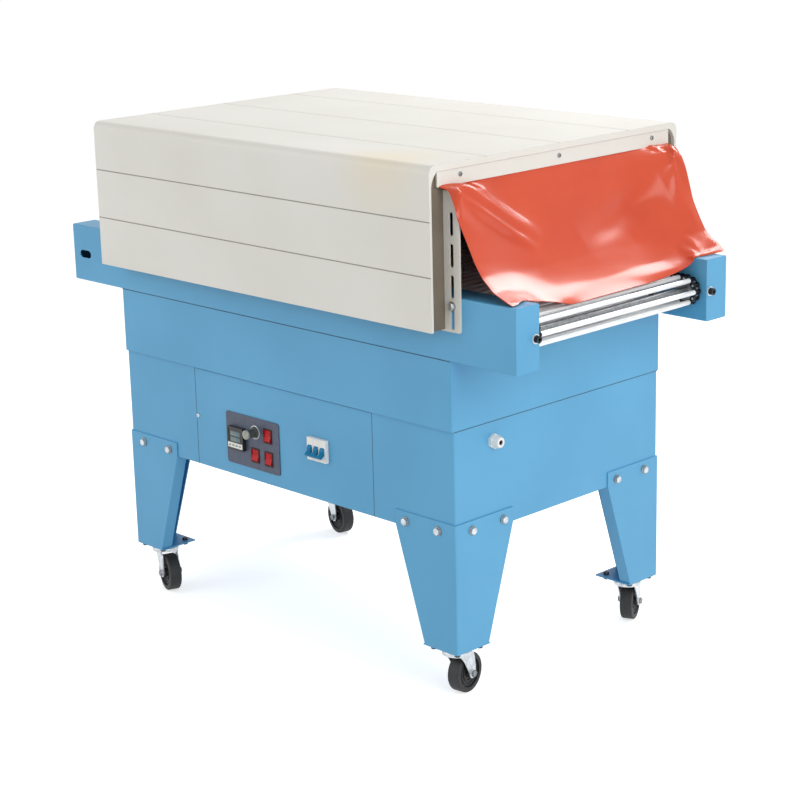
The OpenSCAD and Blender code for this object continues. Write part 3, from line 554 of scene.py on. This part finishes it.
def hung_curtain(end, side, runs, reach, spots, folds):
    """Cuts, hangs and settles the curtain of one end, over stops for the rods, rails and strips there."""
    low_x, high_x, rods_x = reach
    strip_x = sorted(side * x for x in STRIP_SPAN_X)
    stops = [collider((low_x, -ROD_HALF, STOP_FOOT), (rods_x, ROD_HALF, ROD_TOP))]
    for y in SIDES:
        rail_y = sorted(y * edge for edge in RAIL_SPAN_Y)
        strip_y = sorted(y * edge for edge in STRIP_SPAN_Y)
        stops.append(collider((low_x, rail_y[0], STOP_FOOT), (high_x, rail_y[1], RAIL_STOP)))
        stops.append(collider((strip_x[0], strip_y[0], STRIP_FOOT), (strip_x[1], strip_y[1], STRIP_TOP)))
    sheet = cut_sheet(end + "_sheet", runs)
    settled = settle(sheet)
    for helper in stops + [sheet]:
        bpy.data.objects.remove(helper)
    drape = finish_sheet(end + "_drape", settled, spots, folds, end + "_curtain")
    print(drape.name + ":", len(drape.data.polygons), "faces, foot at z",
          round(min(v.co.z for v in drape.data.vertices), 4))


# %% Both curtains
# How far along X the stops reach: from, to, and the rods' end under the foot
EXIT_REACH, ENTRY_REACH = (0.40, 0.65, 0.612), (-0.65, -0.20, -0.20)
# Spots on the flat cut that lie smooth, and lines that are folded
EXIT_SPOTS = [((-0.215, 0.270), 0.10), ((0.215, 0.100), 0.075), ((0.235, 0.055), 0.035)]
EXIT_FOLDS = [((-0.308, 0.024), (-0.098, 0.146), 0.013, 0.016),
              ((-0.305, 0.054), (-0.118, 0.170), 0.010, 0.011),
              ((0.26, 0.110), (0.01, 0.172), -0.012, 0.032),
              ((0.262, 0.026), (0.292, 0.062), 0.003, 0.006)]
ENTRY_SPOTS = [((side * 0.245, 0.265), 0.05) for side in SIDES]
ENTRY_FOLDS = [((side * 0.30, 0.045), (side * 0.13, 0.15), 0.004, 0.012) for side in SIDES]
hung_curtain("exit", 1, (EXIT_MIDDLE, EXIT_FRONT, EXIT_REAR), EXIT_REACH, EXIT_SPOTS, EXIT_FOLDS)
hung_curtain("entry", -1, (ENTRY_MIDDLE, ENTRY_FRONT, ENTRY_REAR), ENTRY_REACH, ENTRY_SPOTS, ENTRY_FOLDS)

# %% [markdown]
# ## Fasteners
# Legs and strips are held by plated hex bolts on washers, the clamp bars by small pan-head screws. A bolt
# could be one plain cylinder, but its flats and softened rims are what catch the light. So each kind is
# modelled once, standing on Z = 0, and copied to every place, turned to the face that it sits on.

# %% Editing helpers
TINY = 1e-5


def pick(piece, test, kind="FACE"):
    """Opens a piece for editing with only those faces or edges selected whose corner points pass the test."""
    bpy.context.view_layer.objects.active = piece
    bpy.ops.object.mode_set(mode="EDIT")
    bpy.ops.mesh.select_mode(type=kind)
    bpy.ops.mesh.select_all(action="DESELECT")
    bpy.ops.object.mode_set(mode="OBJECT")
    mesh = piece.data
    for item in mesh.polygons if kind == "FACE" else mesh.edges:
        item.select = test([mesh.vertices[i].co for i in item.vertices])
    bpy.ops.object.mode_set(mode="EDIT")


def at_height(z):
    """A test that passes what lies wholly at one height."""
    return lambda points: all(abs(p.z - z) < TINY for p in points)


def soften(piece, z, width, segments=2):
    """Bevels the rim that lies at one height."""
    pick(piece, at_height(z), "EDGE")
    bpy.ops.mesh.bevel(offset=width, segments=segments, affect="EDGES")
    bpy.ops.object.mode_set(mode="OBJECT")


def sink(piece, z, margin, depth):
    """Insets the face at one height and pushes it in."""
    pick(piece, at_height(z))
    bpy.ops.mesh.inset(thickness=margin)
    bpy.ops.mesh.extrude_region_move(TRANSFORM_OT_translate={"value": (0, 0, -depth)})
    bpy.ops.object.mode_set(mode="OBJECT")


print("points count as level within", TINY / MM, "mm")


# %% Plain bodies
def disc(radius, low, high, sides=24):
    """A cylinder that stands between two heights."""
    bpy.ops.object.select_all(action="DESELECT")
    bpy.ops.mesh.primitive_cylinder_add(vertices=sides, radius=radius, depth=high - low,
                                        location=(0, 0, (low + high) / 2))
    bpy.ops.object.transform_apply(location=True)
    return bpy.context.object


def tablet(width, height, depth, corner, finish, rim=0.0002):
    """A flat block with round corners and a softened top rim, standing on Z = 0."""
    bpy.ops.object.select_all(action="DESELECT")
    bpy.ops.mesh.primitive_cube_add(size=1, location=(0, 0, depth / 2))
    piece = bpy.context.object
    piece.scale = (width, height, depth)
    bpy.ops.object.transform_apply(location=True, scale=True)
    pick(piece, lambda points: abs(points[0].z - points[1].z) > TINY, "EDGE")
    bpy.ops.mesh.bevel(offset=corner, segments=4, affect="EDGES")
    bpy.ops.object.mode_set(mode="OBJECT")
    soften(piece, depth, rim)
    piece.data.materials.append(finish)
    return piece


def joined(name, parts):
    """One piece made of several, standing where they stand."""
    bpy.ops.object.select_all(action="DESELECT")
    for part in parts:
        part.select_set(True)
    bpy.context.view_layer.objects.active = parts[0]
    bpy.ops.object.join()
    parts[0].name = name
    return parts[0]


# %% [markdown]
# ### Placing
# Every copy could stay an object of its own, but copies that ride on the same body belong together, so they
# are joined into one piece. A copy's turn is given by two directions of the face under it, which is easier
# to read than angles.

# %% Placing helpers
def stood(place, x_axis, z_axis):
    """The turn and shift that stands a master on a place, with its own X and Z along two directions."""
    x_axis, z_axis = Vector(x_axis).normalized(), Vector(z_axis).normalized()
    turn = Matrix((x_axis, z_axis.cross(x_axis), z_axis)).transposed().to_4x4()
    return Matrix.Translation(place) @ turn


def copied(master, name, places, body):
    """Makes a piece of one copy of the master at every place, riding on a body."""
    copies = []
    for place in places:
        copy = master.copy()
        copy.data = master.data.copy()
        copy.data.transform(place)
        bpy.context.scene.collection.objects.link(copy)
        copies.append(copy)
    piece = joined(name, copies)
    bpy.ops.object.shade_smooth_by_angle(angle=math.radians(35))
    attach(piece, body)
    print(name + ":", len(places), "copies,", len(piece.data.polygons), "faces")


front_turn = stood((0, 0, 0), (1, 0, 0), (0, -1, 0)).to_euler()
print("turn of a copy on the front:", [round(math.degrees(angle)) for angle in front_turn], "degrees")


# %% Hex bolts
def hex_bolt(across, head, washer_d, washer_t, finish, washer_finish=None):
    """A hex head with a dished top on a washer."""
    washer = disc(washer_d / 2, 0, washer_t)
    soften(washer, washer_t, washer_t / 4)
    washer.data.materials.append(washer_finish or finish)
    top = washer_t + head
    hexagon = disc(across / math.sqrt(3), washer_t, top, sides=6)
    soften(hexagon, top, across * 0.08)
    sink(hexagon, top, across * 0.1, head * 0.08)
    hexagon.data.materials.append(finish)
    return joined("hex_bolt", [washer, hexagon])


LEG_FACE_X, LEG_FACE_Y, LEG_BOLT_Z = 0.490, 0.2981, 0.342
LEG_BOLTS_IN = (0.045, 0.131)
STRIP_BOLT = (0.4985, 0.305, 0.781)

# Across flats, height of the head, washer diameter and thickness
leg_bolt = hex_bolt(0.013, 0.0052, 0.0185, 0.0016, zinc, dull_steel)
strip_bolt = hex_bolt(0.013, 0.0052, 0.0175, 0.0016, zinc, dull_steel)
leg_places = []
for end in ENDS:
    for side in SIDES:
        for inset in LEG_BOLTS_IN:
            on_side = (end * (LEG_FACE_X - inset), side * LEG_FACE_Y, LEG_BOLT_Z)
            on_end = (end * LEG_FACE_X, side * (LEG_FACE_Y - inset), LEG_BOLT_Z)
            leg_places.append(stood(on_side, (1, 0, 0), (0, side, 0)))
            leg_places.append(stood(on_end, (0, 1, 0), (end, 0, 0)))
copied(leg_bolt, "leg_bolts", leg_places, "chassis")
strip_places = [stood((end * STRIP_BOLT[0], side * STRIP_BOLT[1], STRIP_BOLT[2]), (0.9, 0, 0.4), (0, side, 0))
                for end in ENDS for side in SIDES]
copied(strip_bolt, "strip_bolts", strip_places, "chassis")
for master in (leg_bolt, strip_bolt):
    bpy.data.objects.remove(master)


# %% Clamp and panel screws
def cross_screw(radius, rise, finish):
    """A pan-head screw with a cross recess, cut by two blades."""
    head = disc(radius, 0, rise)
    soften(head, rise, rise * 0.7, segments=4)
    for turn in (0, math.pi / 2):
        bpy.ops.object.select_all(action="DESELECT")
        bpy.ops.mesh.primitive_cube_add(size=1, location=(0, 0, rise), rotation=(0, 0, turn))
        blade = bpy.context.object
        blade.scale = (radius * 1.1, radius * 0.24, rise)
        cut = head.modifiers.new("cross", "BOOLEAN")
        cut.object = blade
        bpy.context.view_layer.objects.active = head
        bpy.ops.object.modifier_apply(modifier="cross")
        bpy.data.objects.remove(blade)
    head.data.materials.append(finish)
    return head


CLAMP_FACE_X, CLAMP_SCREW_Z = 0.4865, 1.0140
CLAMP_SCREWS_Y = (-0.266, 0.0, 0.2735)
PANEL_SCREW = (-0.2555, -0.2956, 0.436)

screw = cross_screw(0.0045, 0.0026, dull_steel)
for end, name in ((1, "exit"), (-1, "entry")):
    clamp_places = [stood((end * CLAMP_FACE_X, y, CLAMP_SCREW_Z), (0, 1, 0.3), (end, 0, 0))
                    for y in CLAMP_SCREWS_Y]
    copied(screw, name + "_clamp_screws", clamp_places, "chassis")
screw.data.materials[0] = zinc
copied(screw, "panel_screw", [stood(PANEL_SCREW, (1, 0, 0.4), (0, -1, 0))], "chassis")
bpy.data.objects.remove(screw)

# %% [markdown]
# ### Caster bolts
# Four blackened bolts go down through each foot plate and the caster's top plate into nuts below. Each fork
# has a bolt head and a nut on the ends of its axle. They could ride on the wheel, but on a real caster the
# axle is held by the fork and swings with it, so they ride on the fork's body.

# %% Foot plate bolts and axle bolts
FOOT_TOP, PLATE_FOOT = 0.1055, 0.1005
BOLT_OFFSET = 0.031
FORK_HALF = 0.0195
joints = {joint["name"]: joint for joint in frame["record"]["behaviour"]["joints"]}

plate_bolt = hex_bolt(0.010, 0.004, 0.0125, 0.0012, chain_steel)
swivels = [Vector(joint["pos_m"]) for name, joint in joints.items() if name.startswith("swivel_")]
corners = [(x, y) for x in (-BOLT_OFFSET, BOLT_OFFSET) for y in (-BOLT_OFFSET, BOLT_OFFSET)]
for name, z, up_or_down in (("foot_plate_bolts", FOOT_TOP, 1), ("foot_plate_nuts", PLATE_FOOT, -1)):
    spots = [stood((at.x + x, at.y + y, z), (1, 0.35, 0), (0, 0, up_or_down))
             for at in swivels for x, y in corners]
    copied(plate_bolt, name, spots, "chassis")
bpy.data.objects.remove(plate_bolt)

axle_bolt = hex_bolt(0.012, 0.0046, 0.0165, 0.0012, dull_steel, zinc)
for joint in joints.values():
    if joint["name"].startswith("roll_"):
        centre, axle = Vector(joint["pos_m"]), Vector(joint["axis"])
        tips = [stood(centre + side * FORK_HALF * axle, (0, 0, 1), side * axle) for side in SIDES]
        copied(axle_bolt, joint["parent"] + "_axle_bolt", tips, joint["parent"])
bpy.data.objects.remove(axle_bolt)

# %% [markdown]
# ## Chain plates and pins
# A roller chain is a row of inner links joined by outer plates, riveted on the ends of the pins. The CAD
# loop holds the inner links and rollers. The outer plates could be one long strip, but the light between
# them is what reads as a chain, so one waisted plate and one rivet head are modelled with few faces and
# copied round the loop.

# %% Places of the pins
PITCH, WRAP = 0.0127, 6
CHAIN_FACES = ((-0.236, -1), (-0.223, 1), (0.223, -1), (0.236, 1))
shaft_low, shaft_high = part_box("exit_shaft")
SHAFT_X, SHAFT_Z = ((shaft_low[i] + shaft_high[i]) / 2 for i in (0, 2))
RUN = round(2 * SHAFT_X / PITCH)
LINKS = 2 * (RUN + WRAP)
PITCH_R = PITCH / (2 * math.sin(math.pi / (2 * WRAP)))


def chain_pin(i):
    """Place of a pin at Y = 0, counted from the top of the exit sprocket down and on round the loop."""
    if i <= WRAP:
        turn, centre = 90 - i * 180 / WRAP, SHAFT_X
    elif i <= WRAP + RUN:
        turn, centre = -90, SHAFT_X - (i - WRAP) * PITCH
    elif i <= 2 * WRAP + RUN:
        turn, centre = -90 - (i - WRAP - RUN) * 180 / WRAP, -SHAFT_X
    else:
        turn, centre = 90, (i - 2 * WRAP - RUN) * PITCH - SHAFT_X
    turn = math.radians(turn)
    return Vector((centre + PITCH_R * math.cos(turn), 0, SHAFT_Z + PITCH_R * math.sin(turn)))


pins = [chain_pin(i) for i in range(LINKS)]
print("chain pins:", LINKS, "pitch circle", round(PITCH_R, 5))

# %% Outer plates and rivet heads
PLATE_T, PLATE_W, WAIST = 0.0013, 0.0112, 0.72
RIVET_R, RIVET_T, RIVET_RIM = 0.0022, 0.0009, 0.0004

link_plate = tablet(PITCH + PLATE_W, PLATE_W, PLATE_T, PLATE_W * 0.49, chain_steel, rim=0.0003)
pick(link_plate, lambda points: True)
bpy.ops.mesh.bisect(plane_co=(0, 0, 0), plane_no=(1, 0, 0))
bpy.ops.transform.resize(value=(1, WAIST, 1))
bpy.ops.object.mode_set(mode="OBJECT")
plate_places = []
rivet_places = []
for y, side in CHAIN_FACES:
    for i in range(1, LINKS, 2):
        here, there = pins[i], pins[(i + 1) % LINKS]
        plate_places.append(stood((here + there) / 2 + Vector((0, y, 0)), there - here, (0, side, 0)))
    faces_out = y * side > 0
    for i in range(0, LINKS, 1 if faces_out else 2):
        rivet_places.append(stood(pins[i] + Vector((0, y + side * PLATE_T, 0)), (1, 0, 0), (0, side, 0)))
copied(link_plate, "chain_plates", plate_places, "chassis")
bpy.data.objects.remove(link_plate)
rivet = disc(RIVET_R, 0, RIVET_T, sides=8)
soften(rivet, RIVET_T, RIVET_RIM, segments=1)
rivet.data.materials.append(zinc)
copied(rivet, "chain_rivets", rivet_places, "chassis")
bpy.data.objects.remove(rivet)

# %% Washers of the tension screws
RAIL_END, TENSION_Y = 0.650, 0.251
WASHER_R, WASHER_T = 0.0095, 0.0022
tension_washer = disc(WASHER_R, 0, WASHER_T)
soften(tension_washer, WASHER_T, 0.0006)
sink(tension_washer, WASHER_T, 0.0018, 0.0003)
tension_washer.data.materials.append(zinc)
washer_places = [stood((end * RAIL_END, side * TENSION_Y, SHAFT_Z), (0, 1, 0), (end, 0, 0))
                 for end in ENDS for side in SIDES]
copied(tension_washer, "tension_washers", washer_places, "chassis")
bpy.data.objects.remove(tension_washer)

# %% [markdown]
# ## Controls
# The temperature controller has two display windows sunk into its face and a white strip of keys. The knob
# has a pale cap and stands in a bright ring. Each could be painted on, but thin modelled pieces keep their
# edges in any light.

# %% Controller windows and keys
CONTROLLER = Vector((-0.1265, -0.3066, 0.4125))
WINDOW_SINK = 0.001
FRONT = (0, -1, 0)
LEVEL = (1, 0, 0)


def on_controller(x, z, sunk=0.0):
    """A place on the controller's face, from its middle."""
    return stood(CONTROLLER + Vector((x, sunk, z)), LEVEL, FRONT)


DISPLAYS_Z = (0.0105, -0.0018)
# Width, height, thickness and corner radius
DISPLAY, KEY_STRIP = (0.030, 0.0098, 0.0006, 0.0008), (0.0445, 0.0108, 0.0006, 0.0012)
KEY = (0.0062, 0.0040, 0.0014, 0.0010)
KEYS_X, KEYS_Z = (-0.0155, -0.0052, 0.0052, 0.0155), -0.0142
display = tablet(*DISPLAY, display_glass)
display_places = [on_controller(0, z, WINDOW_SINK) for z in DISPLAYS_Z]
copied(display, "controller_displays", display_places, "chassis")
key_strip = tablet(*KEY_STRIP, white_nylon)
copied(key_strip, "controller_key_strip", [on_controller(0, KEYS_Z)], "chassis")
key = tablet(*KEY, grey_nylon)
copied(key, "controller_keys", [on_controller(x, KEYS_Z) for x in KEYS_X], "chassis")
for master in (display, key_strip, key):
    bpy.data.objects.remove(master)

# %% Cap of the knob
KNOB, KNOB_L = Vector((-0.073, -0.2979, 0.4345)), 0.025
CAP_R, CAP_FOOT, CAP_TOP = 0.0096, -0.003, 0.0006
NOTCH_AT, NOTCH = (0, 0.005, 0), (0.0012, 0.010, 0.002)
cap = disc(CAP_R, CAP_FOOT, CAP_TOP, sides=40)
soften(cap, CAP_TOP, 0.0005)
bpy.ops.object.select_all(action="DESELECT")
bpy.ops.mesh.primitive_cube_add(size=1, location=NOTCH_AT)
notch = bpy.context.object
notch.scale = NOTCH
cut = cap.modifiers.new("pointer", "BOOLEAN")
cut.object = notch
bpy.context.view_layer.objects.active = cap
bpy.ops.object.modifier_apply(modifier="pointer")
bpy.data.objects.remove(notch)
cap.data.materials.append(grey_nylon)
copied(cap, "knob_cap", [stood(KNOB + KNOB_L * Vector(FRONT), LEVEL, FRONT)], "speed_knob")
bpy.data.objects.remove(cap)

# %% Ring round the knob
RING_R, RING_WIRE, RING_FLAT = 0.0134, 0.0009, 0.8
bpy.ops.object.select_all(action="DESELECT")
bpy.ops.mesh.primitive_torus_add(major_radius=RING_R, minor_radius=RING_WIRE, major_segments=48,
                                 minor_segments=10)
ring = bpy.context.object
pick(ring, lambda points: True)
bpy.ops.transform.resize(value=(1, 1, RING_FLAT))
bpy.ops.object.mode_set(mode="OBJECT")
ring.data.materials.append(zinc)
copied(ring, "dial_ring", [stood(KNOB, LEVEL, FRONT)], "chassis")
bpy.data.objects.remove(ring)

# %% [markdown]
# ## Seams
# The seams of the cabinets and rails and round the access panel are narrow gaps in shade, and so are the V
# grooves where the hood's boards meet. That shade is painted: thin black strips lie along the seams and grey
# strips in the grooves. A drawn line would fade in flat light, so each is a thin modelled strip.

# %% Painted shade along the seams
SHADE_STRIP_W, SHADE_STRIP_T, SHADE_STRIP_CORNER = 0.0009, 0.0004, 0.0003
LOWER_SEAM, UPPER_SEAM = 0.5404, 0.6754
PANEL_X, PANEL_FOOT = (-0.2607, 0.2707), 0.331


def painted_shade_strip(length, finish, width=SHADE_STRIP_W):
    """A long thin strip along X that paints the shade of a seam or groove."""
    return tablet(length, width, SHADE_STRIP_T, SHADE_STRIP_CORNER, finish, rim=0.0001)


SIDE_L, END_L = 0.975, 0.591
LOWER_X, LOWER_Y, UPPER_Y, PANEL_Y = 0.4878, 0.2956, 0.3006, -0.2954
# Black strips in the tyre finish paint the shade in the seams of the cabinets, rails and access panel.
long_edge = painted_shade_strip(SIDE_L, tyre_rubber)
cross_edge = painted_shade_strip(END_L, tyre_rubber)
panel_edge = painted_shade_strip(LOWER_SEAM - PANEL_FOOT, tyre_rubber)
side_places = [stood((0, side * y, z), LEVEL, (0, side, 0))
               for side in SIDES for y, z in ((LOWER_Y, LOWER_SEAM), (UPPER_Y, UPPER_SEAM))]
end_places = [stood((end * LOWER_X, 0, LOWER_SEAM), (0, 1, 0), (end, 0, 0)) for end in ENDS]
panel_places = [stood((x, PANEL_Y, (LOWER_SEAM + PANEL_FOOT) / 2), (0, 0, 1), FRONT) for x in PANEL_X]
copied(long_edge, "cabinet_seam_shade_sides", side_places, "chassis")
copied(cross_edge, "cabinet_seam_shade_ends", end_places, "chassis")
copied(panel_edge, "panel_seam_shade", panel_places, "chassis")

# %% Painted shade in the grooves between the boards
HOOD_Y, HOOD_TOP, GROOVE_SHADE_DEEP = 0.348, 1.038, 0.0007
SIDE_SEAMS, TOP_SEAMS = (0.8373, 0.9377), (-0.2, 0.0, 0.2)
GROOVE_SHADE_L, GROOVE_SHADE_W = 0.977, 0.0022
# Grey strips at the bottom of the V grooves paint the shade in them.
groove_shade_strip = painted_shade_strip(GROOVE_SHADE_L, groove_shade_grey, width=GROOVE_SHADE_W)
groove_shade_places = [stood((0, side * (HOOD_Y - GROOVE_SHADE_DEEP), z), LEVEL, (0, side, 0))
               for side in SIDES for z in SIDE_SEAMS]
groove_shade_places += [stood((0, y, HOOD_TOP - GROOVE_SHADE_DEEP), LEVEL, (0, 0, 1)) for y in TOP_SEAMS]
copied(groove_shade_strip, "board_groove_shades", groove_shade_places, "chassis")
for master in (long_edge, cross_edge, panel_edge, groove_shade_strip):
    bpy.data.objects.remove(master)

# %% [markdown]
# ## Cable gland
# The gland's nut has grip ribs on its taper, and a black rubber seal sits in its mouth. The ribs could be a
# bump, but at the silhouette only geometry shows, so one rib is copied round the axis.

# %% Gland ribs and seal
GLAND = Vector((0.4875, -0.190, 0.502))
NUT_FROM, NUT_L, NUT_R, NOSE_R = 0.007, 0.013, 0.0125, 0.0095
RIBS, RIB_SINK = 16, 0.0002
RIB = (0.0016, NUT_L - 0.003, 0.0009, 0.0007)
taper = math.atan2(NUT_R - NOSE_R, NUT_L)
rib = tablet(*RIB, white_nylon)
rib_places = []
for i in range(RIBS):
    turn = 2 * math.pi * i / RIBS
    out = Vector((0, math.cos(turn), math.sin(turn)))
    place = GLAND + Vector((NUT_FROM + NUT_L / 2, 0, 0)) + out * ((NUT_R + NOSE_R) / 2 - RIB_SINK)
    rib_places.append(stood(place, (0, -math.sin(turn), math.cos(turn)),
                            out * math.cos(taper) + Vector((math.sin(taper), 0, 0))))
copied(rib, "gland_ribs", rib_places, "chassis")

SEAL_R, SEAL_L = 0.0049, 0.0115
seal = disc(SEAL_R, 0, SEAL_L)
sink(seal, SEAL_L, 0.0014, 0.009)
soften(seal, SEAL_L, 0.0004)
seal.data.materials.append(tyre_rubber)
seal_place = stood(GLAND + Vector((NUT_FROM, 0, 0)), (0, 1, 0), (1, 0, 0))
copied(seal, "gland_seal", [seal_place], "chassis")
for master in (rib, seal):
    bpy.data.objects.remove(master)

# %% [markdown]
# ## Stage
# A pale floor catches the shadow, and the world is a soft white studio. Brighter lamps could wash the
# background out, but they would bleach the coats too. So camera, glossy and transmission rays see white by
# themselves, and the light that falls on the object stays at a plain level.

# %% Floor and world
FLOOR_GLOW = 0.6
WORLD_LIGHT = 0.5
bpy.ops.object.select_all(action="DESELECT")
bpy.ops.mesh.primitive_plane_add(size=40)
floor = bpy.context.object
floor.name = "floor"


def seen_directly(owner):
    """1 for rays from the camera, a mirror or through glass, and 0 for those that only carry light."""
    rays = add(owner, "LightPath").outputs
    plain = add(owner, "Math", {"operation": "MAXIMUM"}, {0: rays["Is Camera Ray"], 1: rays["Is Glossy Ray"]})
    return add(owner, "Math", {"operation": "MAXIMUM"},
               {0: plain.outputs["Value"], 1: rays["Is Transmission Ray"]}).outputs["Value"]


floor_paper = bpy.data.materials.new("studio_paper")
floor_paper.use_nodes = True
floor_paper.node_tree.nodes.clear()
paper = add(floor_paper, "BsdfDiffuse", {"Color": linear("#e8e8e8")})
glow = add(floor_paper, "Math", {"operation": "MULTIPLY", 1: FLOOR_GLOW}, {0: seen_directly(floor_paper)})
lift = add(floor_paper, "Emission", {"Color": linear("#ffffff")}, {"Strength": glow.outputs["Value"]})
both = add(floor_paper, "AddShader", {}, {0: paper.outputs["BSDF"], 1: lift.outputs["Emission"]})
add(floor_paper, "OutputMaterial", {}, {"Surface": both.outputs["Shader"]})
floor.data.materials.append(floor_paper)

world = bpy.data.worlds.new("studio")
bpy.context.scene.world = world
world.use_nodes = True
strength = add(world, "MapRange", {"To Min": WORLD_LIGHT, "To Max": 1.0}, {"Value": seen_directly(world)})
backdrop = world.node_tree.nodes["Background"]
backdrop.inputs["Color"].default_value = linear("#ffffff")
world.node_tree.links.new(strength.outputs["Result"], backdrop.inputs["Strength"])
print("floor:", floor.name, "world light:", WORLD_LIGHT)

# %% [markdown]
# ### Lamps
# Three soft boxes light the exit end, the control side and, from behind, the hood and the curtain. One lamp
# would leave a side flat or dark. Their size keeps the shadows soft, and the rear one draws the highlights
# on the curtain.

# %% Lamps
def area_lamp(name, place, aim, width, height, power):
    """A soft box that looks at a point."""
    lamp = bpy.data.objects.new(name, bpy.data.lights.new(name, "AREA"))
    lamp.data.shape = "RECTANGLE"
    lamp.data.size, lamp.data.size_y, lamp.data.energy = width, height, power
    lamp.location = place
    lamp.rotation_euler = (Vector(aim) - Vector(place)).to_track_quat("-Z", "Y").to_euler()
    bpy.context.scene.collection.objects.link(lamp)


area_lamp("exit_softbox", (3.4, -0.6, 2.0), (0, 0, 0.6), 2.6, 2.6, 60)
area_lamp("front_softbox", (-2.2, -3.4, 2.0), (0, 0, 0.6), 2.6, 2.6, 46)
area_lamp("rear_softbox", (0.2, 2.64, 2.86), (0.45, 0, 0.88), 2.0, 1.6, 77)

# %% [markdown]
# ## Finish
# The plain Standard view shows colours as they are written.

# %% Finish
bpy.context.scene.view_settings.view_transform = "Standard"
